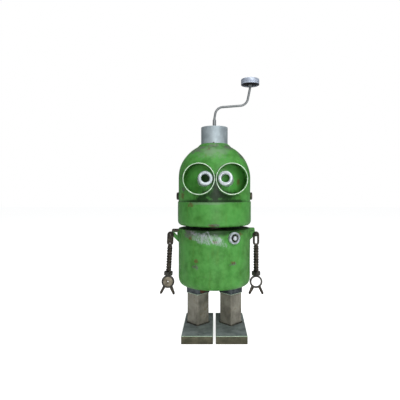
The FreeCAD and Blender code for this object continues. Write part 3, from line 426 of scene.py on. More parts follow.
def worn_paint(name, bare_spots=(), rust_spots=(), faint_spots=(), silver_spots=(), rims=(), chips=0.705,
               shade_and_grime_spots=()):
    """Gloss green paint over steel. Spots are (centre, radii, ...) of bare steel, rust and scuffs, and of
    painted shade mixed with grime.
    """
    s = Surface(name)
    broad = s.fade(s.grain(34, 3), 0.36, 0.64)
    cloud = s.fade(s.grain(9, 4, 0.6), 0.3, 0.72)
    paint = s.blend(broad, LEAF_DARK, LEAF)
    paint = s.blend(s.times(cloud, 0.55), paint, LEAF_LIGHT)
    runs = s.fade(s.grain(5, 3, where=s.stretched((1, 1, 7))), 0.52, 0.74)
    paint = s.blend(s.times(runs, 0.28), paint, srgb(86, 128, 40))
    faint = s.fade(s.grain(6.5, 5, 0.7), 0.60, 0.74)
    paint = s.blend(s.times(faint, 0.38), paint, srgb(104, 118, 92))
    for spot in faint_spots:
        paint = s.blend(s.times(s.patch(*spot), 0.5), paint, srgb(116, 138, 114))
    # Painted shade mixed with grime: spots blended towards a near-black green where shadow falls.
    for spot in shade_and_grime_spots:
        paint = s.blend(s.times(s.patch(*spot), 0.88), paint, srgb(12, 42, 8))

    chip = s.fade(s.grain(1.7, 3, 0.6), chips, chips + 0.035)
    where_chips = s.fade(s.grain(21, 2), 0.50, 0.62)
    bare = s.times(chip, where_chips)
    for spot in bare_spots:
        bare = s.either(bare, s.patch(*spot))
    for axis, low, high in rims:
        edge = s.scaled(s.grain(2.2, 4, 0.7), 2.4, -1.2)
        bare = s.either(bare, s.fade(s.maths("ADD", s.axis(axis), s.times(edge, abs(high - low))), low, high))
    steel = s.blend(s.fade(s.grain(1.6, 4, 0.7), 0.35, 0.65), BARE_DARK, BARE)
    bloom = s.fade(s.grain(3.4, 4, 0.7), 0.54, 0.70)
    steel = s.blend(bloom, steel, RUST_DARK)
    colour = s.blend(s.times(bare, 0.62), paint, steel)

    rust = s.times(s.fade(s.grain(1.3, 3), 0.72, 0.76), s.fade(s.grain(15, 2), 0.55, 0.66))
    for spot in rust_spots:
        rust = s.either(rust, s.patch(*spot))
    rust_colour = s.blend(s.fade(s.grain(1.1, 4, 0.7), 0.35, 0.7), RUST_DARK, RUST)
    colour = s.blend(s.times(rust, 0.6), colour, rust_colour)

    silver = None
    for centre, radii, turn in silver_spots:
        zone = s.patch(centre, radii, 0.55, 0.3, turn, 3.0)
        lines = s.fade(s.grain(1.9, 2, 0.5, s.stretched((1, 1, 6), (0, -20, 0))), 0.38, 0.64)
        fine = s.fade(s.grain(1.0, 3, 0.6, s.stretched((1, 1, 4), (0, 24, 0))), 0.42, 0.64)
        scratch = s.times(zone, s.either(s.times(lines, 0.8), s.times(fine, 0.7)))
        silver = scratch if silver is None else s.either(silver, scratch)
    if silver is not None:
        colour = s.blend(s.times(silver, 0.72), colour, SILVER)
        bare = s.either(bare, silver)

    lost = s.either(bare, rust)
    rough = s.scaled(s.grain(7, 4), 0.26, 0.27)
    rough = s.maths("ADD", rough, s.times(lost, 0.2))
    skin_height = s.times(s.grain(0.9, 2), 0.12)
    height = s.maths("SUBTRACT", skin_height, s.times(lost, 0.9))
    height = s.maths("ADD", height, s.times(s.grain(14, 2), 1.2))
    return s.finish(colour, rough, s.times(bare, 0.35), height, 0.16, shine=0.25)


def metal(name, dark, light, rough=0.4, metallic=0.9, size=3.0, brushed=None, spots=None, depth=0.05,
          rust_spots=(), shade_above=None, shine=0.5):
    """Worn bare metal: blotches and grain, with optional brushing, stains, placed rust and a top darkened as
    painted shade.
    """
    s = Surface(name)
    dark, light = srgb(*dark), srgb(*light)
    blotch = s.fade(s.grain(size * 4, 4, 0.6), 0.34, 0.68)
    fine = s.grain(size * 0.35, 4, 0.7, s.stretched(brushed) if brushed else None)
    colour = s.blend(blotch, dark, light)
    colour = s.blend(s.times(s.fade(fine, 0.35, 0.75), 0.45), colour, light)
    stain_mask = 0.0
    if spots:
        stain, low, high = spots
        stain_mask = s.fade(s.grain(size * 2.2, 5, 0.7), low, high)
        colour = s.blend(s.times(stain_mask, 0.8), colour, srgb(*stain))
    roughness = s.scaled(fine, 0.3, rough - 0.1)
    if spots:
        roughness = s.maths("ADD", roughness, s.times(stain_mask, 0.18))
        metallic = s.maths("SUBTRACT", metallic, s.times(stain_mask, metallic * 0.6))
    for spot in rust_spots:
        mottled = s.blend(s.fade(s.grain(1.3, 4, 0.7), 0.35, 0.7), RUST_DARK, RUST)
        colour = s.blend(s.times(s.patch(*spot), 0.85), colour, mottled)
    # Painted shade: above a height the colour goes to a near-black green.
    if shade_above:
        colour = s.blend(s.times(s.fade(s.axis("Z"), *shade_above), 0.85), colour, srgb(10, 22, 8))
    return s.finish(colour, roughness, metallic, fine, depth, shine)


DOME_PAINT = worn_paint(
    "dome_paint",
    bare_spots=[((-27, -22, 285), (13, 16, 6), 0.6, 0.3), ((21, -18, 288), (9, 13, 5), 0.5, 0.3),
                ((40, -14, 273), (8, 11, 7), 0.7, 0.3), ((0, -24, 289), (10, 8, 3.5), 0.8, 0.3),
                ((56, 0, 252), (3.5, 9, 20), 0.8, 0.5), ((-46, -31, 223), (4, 5, 3.5), 0.5, 0.3),
                ((-57, -2, 240), (3, 9, 24), 0.8, 0.5), ((10, 40, 270), (14, 12, 10), 0.8, 0.3),
                ((-30, 44, 225), (8, 8, 12), 0.8, 0.3)],
    rust_spots=[((-8.5, -30, 281), (2.6, 8, 6), 0.7, 0.3), ((-12, -38, 273), (2.5, 6, 2.5), 0.6, 0.3),
                ((-48, -29, 213), (4, 6, 5), 0.7, 0.3), ((35, -43, 234), (2.6, 6, 4.5), 0.6, 0.35),
                ((25, 48, 240), (5, 6, 8), 0.8, 0.3)],
    faint_spots=[((-2, -34, 277), (18, 14, 11), 0.6, 0.4)],
    # Dark spots under the goggles, round the nose and in a band above the jaw are painted shade mixed with
    # grime.
    shade_and_grime_spots=[((1, -54, 206), (60, 30, 3.0), 0.35, 0.4), ((8, -54, 214), (26, 14, 8), 0.6, 0.6),
                 ((1.4, -56, 226), (7, 10, 15), 0.5, 0.5), ((-17, -54, 210), (9, 10, 6), 0.6, 0.5),
                 ((3, -54, 216), (14, 12, 8), 0.6, 0.5), ((-13.6, -54, FACE_HEIGHT), (7, 12, 7), 0.2, 0.3)])
JAW_PAINT = worn_paint(
    "jaw_paint",
    bare_spots=[((-1, -57, 171), (8.5, 6, 2.4), 0.7, 0.25), ((-57, -4, 186), (2.5, 10, 18), 0.6, 0.3),
                ((12, 55, 176), (9, 6, 4), 0.8, 0.3)],
    rust_spots=[((-35, -45, 200.5), (5, 7, 2.6), 0.8, 0.3), ((-3, -57, 170.5), (4, 6, 1.6), 0.8, 0.3),
                ((57, 8, 172), (4, 9, 3), 0.8, 0.3)],
    faint_spots=[((-8, -56, 203), (40, 16, 1.8), 0.6, 0.5)],
    rims=[("Z", 204.0, 204.6)])
BODY_PAINT = worn_paint(
    "body_paint",
    bare_spots=[((-36, -41, 158), (10, 9, 6.5), 0.6, 0.35), ((-27, -48, 109), (5.5, 6, 3), 0.6, 0.35),
                ((27, -48, 113.5), (5, 6, 2.2), 0.7, 0.3), ((-55, -3, 120), (2.5, 10, 40), 0.6, 0.3),
                ((20, 50, 140), (12, 8, 9), 0.9, 0.3), ((-25, 48, 95), (8, 8, 10), 0.9, 0.3)],
    rust_spots=[((-35, -42, 151), (3.6, 6, 2.8), 0.6, 0.3), ((-27, -48, 118), (2.8, 6, 3), 0.7, 0.3),
                ((26, -48, 115.5), (3.4, 6, 1.8), 0.7, 0.3),
                ((1, -55, 146.5), (4.5, 6, 2.4), 0.7, 0.35), ((38, -39, 157), (3, 5, 3), 0.7, 0.3),
                ((30, 45, 84), (9, 9, 4), 0.9, 0.3)],
    faint_spots=[((-12, -52, 156), (26, 12, 6), 0.6, 0.4)],
    silver_spots=[((-9, -54, 150.2), (23, 12, 7.4), 14)],
    # The dark band at the body's top, under the jaw, is painted shade.
    shade_and_grime_spots=[((4, -48, 162), (54, 34, 6.5), 0.35, 0.5)],
    rims=[("Z", 162.6, 163.2)])
TRIM_PAINT = worn_paint("trim_paint", chips=0.66)
# The right shoulder bracket's paint has more chips and bare spots than the left's: wear, and painted shade,
# for that bracket sits in shadow.
TRIM_WEAR_AND_PAINTED_SHADE = worn_paint("trim_wear_and_painted_shade", chips=0.60,
                        bare_spots=[((-66, 0, 160), (12, 9, 4.5), 0.7, 0.4),
                                    ((-70, 0, 151), (5, 8, 4), 0.6, 0.4)])

GALVANISED = metal("galvanised_pipe", (152, 164, 170), (182, 194, 200), 0.5, 0.5, 3.4,
                   spots=((128, 138, 142), 0.66, 0.78))
CRANK_STEEL = metal("crank_steel", (118, 122, 124), (146, 150, 152), 0.42, 0.35, 6.0)
KNOB_STEEL = metal("knob_steel", (158, 168, 186), (200, 210, 226), 0.42, 0.3, 1.6)
ZINC = metal("bright_zinc", (172, 180, 186), (228, 236, 240), 0.36, 0.4, 1.6,
             spots=((150, 156, 160), 0.66, 0.76))
RING_ZINC = metal("dull_zinc", (146, 156, 162), (204, 212, 218), 0.42, 0.4, 1.8,
                  spots=((120, 128, 132), 0.62, 0.74))
GROUND_EDGE = metal("ground_edge", (158, 190, 158), (206, 228, 204), 0.34, 0.3, 1.2)
DARK_STEEL = metal("oiled_steel", (30, 28, 25), (84, 78, 68), 0.42, 0.7, 1.5,
                   spots=((92, 72, 50), 0.60, 0.74), depth=0.08)
LEG_STEEL = metal("leg_steel", (102, 98, 88), (152, 149, 136), 0.44, 0.25, 5.0, (1, 1, 9),
                  spots=((112, 96, 66), 0.56, 0.72))
FOOT_WELD = metal("foot_weld", (40, 40, 36), (92, 90, 80), 0.5, 0.4, 1.0)
HIP_STEEL = metal("hip_steel", (38, 46, 50), (92, 100, 104), 0.36, 0.7, 2.2,
                  spots=((112, 70, 42), 0.68, 0.78),
                  rust_spots=[((-15, -14, 66), (7, 16, 4.5), 0.6, 0.35)])
FOOT_TOP = metal("foot_top", (102, 112, 112), (146, 156, 156), 0.46, 0.2, 3.4,
                 spots=((72, 70, 56), 0.58, 0.74))
FOOT_SIDE = metal("foot_side", (62, 62, 46), (96, 94, 74), 0.5, 0.4, 3.4, (9, 9, 1))
WELD = metal("weld_bead", (58, 60, 60), (124, 126, 124), 0.4, 0.8, 0.9,
             spots=((92, 70, 48), 0.58, 0.72))
BRASS = metal("brass_movement", (150, 112, 48), (206, 168, 92), 0.3, 0.95, 2.0, (1, 6, 1))
SPRING = metal("spring_steel", (92, 96, 104), (168, 172, 180), 0.28, 0.95, 1.2)
BLACK = metal("black_insert", (16, 16, 18), (38, 38, 40), 0.6, 0.0, 1.2, shine=0.08)

# Painted shade: above this band the goggles' insides are darkened, for the shade under the tubes' tops.
GOGGLE_TOP_SHADE = (FACE_HEIGHT + 15, FACE_HEIGHT + 19)
# The left goggle's inside is a lighter green than the right's: painted light, lifting the shadow its outer
# wall casts.
GOGGLE_INSIDE = {side: metal(name, dark, light, 0.5, 0.0, 3.0, depth=0.08, shade_above=GOGGLE_TOP_SHADE)
                 for side, name, dark, light in (
                     ("left", "goggle_inside_painted_light", (78, 146, 66), (116, 190, 98)),
                     ("right", "goggle_inside", (50, 102, 40), (88, 150, 66)))}
# The right eye's bore is darker than the left's: painted shade in that bore.
EYE_INSIDE = {"left": metal("eye_inside_green", (54, 100, 46), (84, 146, 70), 0.5, 0.0, 1.6),
              "right": metal("eye_inside_painted_shade", (26, 40, 30), (52, 74, 56), 0.5, 0.1, 1.6)}
EYE_RING = {"left": ZINC, "right": RING_ZINC}
PAINTED_WELD = metal("painted_weld", (44, 92, 34), (70, 128, 56), 0.42, 0.1, 1.6,
                     spots=((60, 62, 46), 0.56, 0.70))
HAND_STEEL = metal("hand_steel", (30, 28, 26), (90, 88, 82), 0.42, 0.6, 1.6)
PALM_STEEL = metal("palm_bearing", (84, 78, 66), (150, 142, 124), 0.4, 0.6, 1.4,
                   spots=((82, 62, 44), 0.56, 0.70))
# Painted shade: the body's lid, in shadow under the jaw, is painted a dark green.
LID_PAINTED_SHADE = metal("lid_painted_shade", (30, 58, 24), (56, 98, 44), 0.6, 0.0, 4.0)

# The CAD nodes keep plain finishes of their own, by material slot.
BY_SLOT = {"green_paint": TRIM_PAINT, "bare_steel": LEG_STEEL, "galvanised": GALVANISED,
           "dark_steel": DARK_STEEL, "bright_zinc": ZINC, "brass": BRASS, "spring_steel": SPRING,
           "black_plastic": BLACK}
for row in frame["record"]["subparts"]:
    node = frame["nodes"][row["node"]]
    node.data.materials.clear()
    node.data.materials.append(BY_SLOT[row["material_slot"]])


# ---------------------------------------------------------------- feet, legs, hips


def rounded_square(side, corner):
    """Corners of a square set with one corner forwards, shrunk by an inset."""
    def ring(inset):
        half = side / 2 - inset
        radius = max(corner - inset, 0.3)
        outline = rounded([(a * half, b * half, radius) for a, b in ((1, 1), (-1, 1), (-1, -1), (1, -1))], 6)
        c, s = math.cos(math.radians(45)), math.sin(math.radians(45))
        return [(x * c - y * s, x * s + y * c) for x, y in outline]
    return ring


def legs():
    for side in ("left", "right"):
        low, high = span(side + "_foot")

        def plan(inset, low=low, high=high):
            """Every ring has the same number of points along each side, whatever its inset."""
            x0, x1, y0, y1 = low.x + inset, high.x - inset, low.y + inset, high.y - inset
            corners = [(x0, y0), (x1, y0), (x1, y1), (x0, y1), (x0, y0)]
            outline = []
            for n, ((ax, ay), (bx, by)) in enumerate(zip(corners, corners[1:])):
                pieces = round(((high.y - low.y) if n % 2 else (high.x - low.x)) / 6)
                outline += [(ax + (bx - ax) * k / pieces, ay + (by - ay) * k / pieces) for k in range(pieces)]
            return outline

        tall = high.z
        foot = slab(plan, [(0, 0.6), (0.2, 0.2), (0.6, 0), (tall - 0.5, 0)], floor=True)
        edge = slab(plan, [(tall - 0.5, 0), (tall - 0.15, 0.15), (tall - 0.02, 0.5)], 1)
        top = slab(plan, [(tall - 0.02, 0.5), (tall, 0.8)], 2, roof=True)
        finishes = [FOOT_SIDE, GROUND_EDGE, FOOT_TOP]
        piece(side + "_foot_bar", "torso", foot + edge + top, finishes, [side + "_foot"])

        low, high = span(side + "_leg")
        x = (low.x + high.x) / 2
        outer = rounded_square(25, 2.4)
        inner = rounded_square(21, 0.4)
        halfway = (low.z + high.z) / 2
        levels = [(outer, low.z), (outer, halfway), (outer, high.z), (inner, high.z), (inner, low.z)]
        rings = [[(px + x, py, z) for px, py in shape(0)] for shape, z in levels]
        piece(side + "_leg_tube", "torso", skin(rings, "loop"), LEG_STEEL, [side + "_leg"])
        around = [(px * 1.02 + x, py * 1.02, low.z + 0.5) for px, py in outer(-0.4)]
        piece(side + "_foot_weld", "torso", bead(around, 1.25, True), FOOT_WELD)

    low, high = span("hip_blocks")
    hip, corner = 27, 2.6
    ring = rounded_square(hip, corner)
    blocks, beads = [], []
    for sign in (1, -1):
        x = sign * (high.x - hip / math.sqrt(2) + corner * (math.sqrt(2) - 1))
        lip = slab(ring, [(low.z, 0.7), (low.z + 0.3, 0.15), (low.z + 0.9, 0)], 1, floor=True)
        block = slab(ring, [(low.z + 0.9, 0), (high.z - 2.5, 0), (high.z, 2.5)], roof=True)
        blocks += shifted(lip + block, x)
        beads += bead([(px + x, py, high.z - 0.3) for px, py in ring(2.2)], 1.3, True)
    piece("hip_block_pair", "torso", blocks, [HIP_STEEL, GROUND_EDGE], ["hip_blocks"])
    piece("hip_welds", "torso", beads, WELD)


# ---------------------------------------------------------------- body


def cup_outline(radius, wall, low, high, knuckle, lip=0.5, bore=0):
    """Section of a pressed cup, from its axis, or the hole in its floor, out and back."""
    inside = radius - wall
    corners = [(bore, low, 0), (radius, low, knuckle), (radius, high, lip), (inside, high, lip * 0.6),
               (inside, low + wall, knuckle - wall), (bore, low + wall, 0)]
    return densified(rounded(corners, 10), 5)


def body():
    low, high = span("body_shell")
    radius = half_width("body_shell")
    outline = cup_outline(radius, 1.5, low.z, high.z, 13)
    shell = dented(lathe(outline, 144), 0.5, 22, between(low.z + 1, high.z, 12, 15))
    piece("body_bottle", "torso", shell, BODY_PAINT, ["body_shell"])
    low, high = span("body_lid")
    lid = washer(0, half_width("body_lid"), low.z, high.z - 0.2, 0.4, 96)
    piece("body_lid_disc", "torso", lid, LID_PAINTED_SHADE, ["body_lid"])

    wall = radius - 1
    for side, sign, paint in (("left", 1, TRIM_PAINT), ("right", -1, TRIM_WEAR_AND_PAINTED_SHADE)):
        low, high = span(side + "_shoulder_bracket")
        pin_x, pin_z, top = max(abs(low.x), abs(high.x)) - 3.5, PIN_HEIGHT, high.z
        back = pin_x - 2.5
        outline = [(wall, top), (back, top), (back + 1, pin_z + 4.5), (pin_x + 3.3, pin_z + 2),
                   (pin_x + 3.5, pin_z - 1), (pin_x + 1.5, pin_z - 3.5), (pin_x - 4, pin_z - 3.5),
                   (wall, pin_z - 3.5 - (pin_x - 4 - wall))]
        if side == "right":
            near, far, high_z, low_z = pin_x - 10.5, pin_x - 5.5, top - 5, top - 10
            outline += [(wall, high_z), (near, high_z), (near, low_z), (far, high_z), (near, high_z + 0.02),
                        (wall, high_z + 0.02)]
        web = prism([(sign * x, z) for x, z in outline], -1.5, 1.5)
        piece(side + "_shoulder_web", "torso", web, paint, [side + "_shoulder_bracket"], bevel=0.3)
        section = [(wall, top), (back, top), (back, top - 3), (wall, top - 3)]
        plate = prism([(sign * x, z) for x, z in section], -7, 7)
        # The right plate takes the dark oiled steel finish: painted shade, for that bracket's top sits in
        # shadow.
        piece(side + "_shoulder_plate", "torso", plate, paint if side == "left" else DARK_STEEL, bevel=0.45)
        weld = bead([(sign * (radius - 0.4 - abs(y) * 0.06), y, top - 3.2) for y in range(-7, 8)], 0.95)
        for y in (1.6, -1.6):
            weld += bead([(sign * (radius + 0.1), y, z) for z in range(147, 158)], 0.8)
        piece(side + "_shoulder_weld", "torso", weld, PAINTED_WELD)

        pin = lathe([(0, -6), (PIN_RADIUS, -6), (PIN_RADIUS, 2.5), (0, 2.5)], 24)
        head = lathe([(0, 0), (2.3, 0), (2.2, 0.6), (1.7, 1.05), (0.8, 1.25), (0, 1.3)], 32)
        shape = moved(pin, BACKWARDS)
        shape += shifted(moved(head, ALONG_Y), y=-6)
        shape += shifted(moved(head, BACKWARDS), y=1.52)
        piece(side + "_shoulder_rivet", "torso", shifted(shape, sign * pin_x, 0, pin_z), HAND_STEEL,
              ["shoulder_pins"] if side == "left" else [])

    low, high = span("neck_spacer")
    spacer = washer(5, half_width("neck_spacer"), low.z, high.z, 0.5, 72)
    piece("neck_spacer_ring", "torso", spacer, DARK_STEEL, ["neck_spacer"])


def chest_badge():
    turn = Matrix.Rotation(math.radians(29), 4, "Z") @ ALONG_Y
    turn = Matrix.Translation((0, 0, middle("chest_outer_race").z)) @ turn
    wall = half_width("body_shell")
    seat = wall + 1
    outer = turned([(6.05, seat, 0.4), (9, seat, 0.9), (9, seat + 5, 1.1), (6.05, seat + 5, 0.7)], 5, 72)
    piece("chest_ring", "chest_race", moved(outer, turn), RING_ZINC, ["chest_outer_race"])
    balls = []
    arc = [math.pi * k / 10 for k in range(11)]
    ball = lathe([(1.25 * math.sin(a), -1.25 * math.cos(a)) for a in arc], 16)
    for angle in angles(7):
        balls += shifted(ball, 5 * math.cos(angle), 5 * math.sin(angle), seat + 2.5)
    piece("chest_ball_set", "chest_race", moved(balls, turn), DARK_STEEL, ["chest_balls"])
    inner = turned([(2.5, wall + 0.1, 0), (3.7, wall + 0.1, 0), (3.7, seat + 4.4, 0.5),
                    (2.5, seat + 4.4, 0.3)], 4, 48)
    piece("chest_hub", "torso", moved(inner, turn), DARK_STEEL, ["chest_inner_race"])
    stud = [(0, wall - 3.6), (3.9, wall - 3.6), (3.9, wall - 1.8), (2.45, wall - 1.8), (2.45, seat + 4.6)]
    arc = [math.radians(a) for a in range(0, 90, 9)]
    stud += [(3.3 * math.cos(a), seat + 4.6 + 2.7 * math.sin(a)) for a in arc]
    stud += [(0, seat + 7.3)]
    piece("chest_stud", "torso", moved(lathe(stud, 40), turn), ZINC, ["chest_rivet"])


# ---------------------------------------------------------------- head


def dome_radius_at(z, grow=0.0):
    """Outer radius of the dome at a height."""
    if z <= DOME_WAIST:
        return DOME_RADIUS + grow
    share = (z - DOME_WAIST) / (DOME_RISE + grow)
    return (DOME_RADIUS + grow) * math.sqrt(max(0.0, 1 - share * share))


def head():
    low, high = span("jaw_cup")
    outline = cup_outline(half_width("jaw_cup"), 0.8, low.z, high.z, 8, 0.3, NECK_HOLE)
    cup = dented(lathe(outline, 144), 0.3, 24, between(low.z + 1, high.z, 10, 12))
    piece("jaw_bottle", "jaw", cup, JAW_PAINT, ["jaw_cup"])

    skirt = span("dome_shell")[0].z
    straight = DOME_WAIST - skirt - 0.6
    outer = [(DOME_RADIUS - 0.5, skirt), (DOME_RADIUS - 0.1, skirt + 0.15)]
    outer += [(DOME_RADIUS, skirt + 0.6 + straight * k / 9) for k in range(9)]
    for k in range(27):
        angle = math.radians(62.3) * k / 26
        outer.append((DOME_RADIUS * math.cos(angle), DOME_WAIST + DOME_RISE * math.sin(angle)))
    low, high = span("collar_pipe")
    collar = half_width("collar_pipe")
    # The dome's top turns up in a small fillet against the collar pipe.
    start, control, end = Vector(outer[-1]), Vector((collar + 3.5, 293.2)), Vector((collar + 0.15, 295.3))
    for k in range(1, 8):
        t = k / 7
        p = start * (1 - t) ** 2 + control * 2 * t * (1 - t) + end * t * t
        outer.append((p.x, p.y))
    inner = [(collar + 0.02, 291.4)]
    for k in range(20):
        angle = math.radians(67) * (1 - k / 19)
        height = DOME_WAIST + (DOME_RISE - 1.5) * math.sin(angle)
        inner.append(((DOME_RADIUS - 1.5) * math.cos(angle), height))
    inner += [(DOME_RADIUS - 1.5, DOME_WAIST - straight * k / 6) for k in range(1, 6)]
    inner += [(DOME_RADIUS - 1.5, skirt + 0.3), (DOME_RADIUS - 1.3, skirt)]
    shell = dented(lathe(outer + inner, 160), 0.6, 21, between(216, 288, 14, 14))
    piece("dome_bottle", "dome", shell, DOME_PAINT, ["dome_shell"])

    bore, top = collar - 3, high.z
    pipe = turned([(bore, low.z, 0.3), (collar, low.z, 0.3), (collar, top, 0.7), (bore, top, 0.5)], 5, 96)
    piece("collar_pipe_slice", "dome", dented(pipe, 0.12, 9), GALVANISED, ["collar_pipe"])
    lid = washer(4.5, bore - 0.02, top - 3.5, top - 1.0, 0.4, 72)
    piece("collar_lid", "dome", lid, GALVANISED, ["collar_cap"])
    ring = [((bore - 0.5) * math.cos(a), (bore - 0.5) * math.sin(a), top - 0.9) for a in angles(32)]
    piece("collar_lid_weld", "dome", bead(ring, 0.7, True), WELD)
    bush = turned([(2.05, top - 7.5, 0), (4.48, top - 7.5, 0.3), (4.48, top - 0.96, 0),
                   (6.5, top - 0.96, 0.2), (6.5, top + 0.2, 0.4), (2.05, top + 0.2, 0.3)], 4, 48)
    piece("crank_bush", "dome", bush, BRASS, ["top_bush"])
    spot = shifted(lathe([(0, 0), (1.7, 0.1), (1.5, 0.7), (0.8, 1.1), (0, 1.2)], 20), 0, 0, collar - 0.3)
    turn = Matrix.Rotation(math.radians(-3), 4, "Z") @ ALONG_Y
    spot = moved(spot, Matrix.Translation((0, 0, 295.4)) @ turn)
    piece("collar_tack_weld", "dome", spot, WELD)

    for side, sign in (("left", 1), ("right", -1)):
        goggle(side, sign)
        eye(side, sign)
        pivot(side, sign)
    front = span("left_goggle")[0].y + 1.8
    nose = bead([(FACE.x, front, FACE.z + d) for d in (-2.5, -1.5, 0, 1.5, 2.5)], 1.15)
    piece("goggle_tack_weld", "dome", nose, WELD)


def tube_to_dome(name, axis_origin, turn, outer, inner, front, materials, nodes, lip, sides=96):
    """A round tube whose open back end follows the dome. Local +Z is its front."""
    matrix = Matrix.Translation(axis_origin) @ turn

    def depth(radius, angle):
        """Distance back along the tube to the dome's outer face."""
        back = 0.0
        while back < 60:
            p = matrix @ Vector((radius * math.cos(angle), radius * math.sin(angle), front - back))
            if math.hypot(p.x, p.y) <= dome_radius_at(p.z) - 0.15:
                return back
            back += 0.25
        return back

    rings = []
    for angle in angles(sides):
        back_outer, back_inner = depth(outer, angle), depth(inner, angle)
        profile = [(outer, front - lip)]
        profile += [(outer, front - lip - (back_outer - lip) * t / 4) for t in range(1, 5)]
        profile += [(inner, front - lip - (back_inner - lip) * (1 - t / 4)) for t in range(0, 5)]
        profile += [(inner + lip * 0.3, front - lip * 0.35), (inner + lip, front), (outer - lip, front),
                    (outer - lip * 0.3, front - lip * 0.35)]
        rings.append([matrix @ Vector((r * math.cos(angle), r * math.sin(angle), z)) for r, z in profile])
    shape = skin(rings, "loop")
    count = len(rings[0])
    points, faces, _ = shape[0]
    walls, rim, inside = [], [], []
    for i, face in enumerate(faces):
        k = i % count
        (rim if k >= count - 5 else inside if k >= 5 else walls).append(face)
    shape = [(points, walls, 0), (points, rim, 1), (points, inside, 2)]
    piece(name, "dome", shape, materials, nodes)
    return depth, matrix


def goggle(side, sign):
    low, high = span(side + "_goggle")
    centre = (low + high) / 2
    radius = (high.z - low.z) / 2
    front = -low.y
    finishes = [TRIM_PAINT, GROUND_EDGE, GOGGLE_INSIDE[side]]
    depth, matrix = tube_to_dome(side + "_goggle_ring", (centre.x, 0, centre.z), ALONG_Y, radius,
                                 radius - 1.3, front, finishes, [side + "_goggle"], 0.35)
    path = []
    reach = radius + 0.2
    for angle in angles(72):
        back = depth(radius, angle)
        path.append(matrix @ Vector((reach * math.cos(angle), reach * math.sin(angle), front - back + 0.4)))
    gap = [p for p in path if abs(p.x - FACE.x) > 4]
    start = max(range(len(gap)), key=lambda i: (gap[i] - gap[i - 1]).length)
    piece(side + "_goggle_weld", "dome", bead(gap[start:] + gap[:start], 1.0), PAINTED_WELD)


def eye(side, sign):
    lean = math.radians(8)    # outwards, and up as well
    turn = Matrix.Rotation(-lean * sign, 4, "Z") @ Matrix.Rotation(math.radians(90) - lean, 4, "X")
    origin = Vector((FACE.x + sign * 15, -61.5, FACE.z))
    ring = turned([(6, 0, 0.2), (10.6, 0, 0.3), (10.6, 6.5, 2.6), (6, 6.5, 1.8)], 9, 80)
    piece(side + "_eye_bezel", "dome", moved(ring, Matrix.Translation(origin) @ turn), EYE_RING[side],
          [side + "_eye_ring"])
    tube_to_dome(side + "_eye_tube", origin, turn, 10.3, 6.4, -0.02, [ZINC, ZINC, EYE_INSIDE[side]],
                 ["eye_sockets"] if side == "left" else [], 0.1, 64)


def pivot(side, sign):
    low, high = span("pivot_bolts")
    z = (low.z + high.z) / 2
    turn = Matrix.Rotation(math.radians(90 * sign), 4, "Y")
    head_shape = hexagon_nut(10, DOME_RADIUS + 0.95, DOME_RADIUS + 3.25, 0)
    head_shape += washer(3, 6.2, DOME_RADIUS - 0.3, DOME_RADIUS + 1.0, 0.3, 40)
    shank = washer(0, 3, 46.6, DOME_RADIUS + 0.3, 0.2, 32)
    shape = moved(head_shape + shank, turn)
    first = side == "left"
    piece(side + "_pivot_bolt", "dome", shifted(shape, z=z), DARK_STEEL, ["pivot_bolts"] if first else [])
    nut = moved(hexagon_nut(10, 48.3, 51.3, 3.0), turn)
    piece(side + "_pivot_nut", "dome", shifted(nut, z=z), DARK_STEEL, ["pivot_nuts"] if first else [])


# ---------------------------------------------------------------- crank and knob


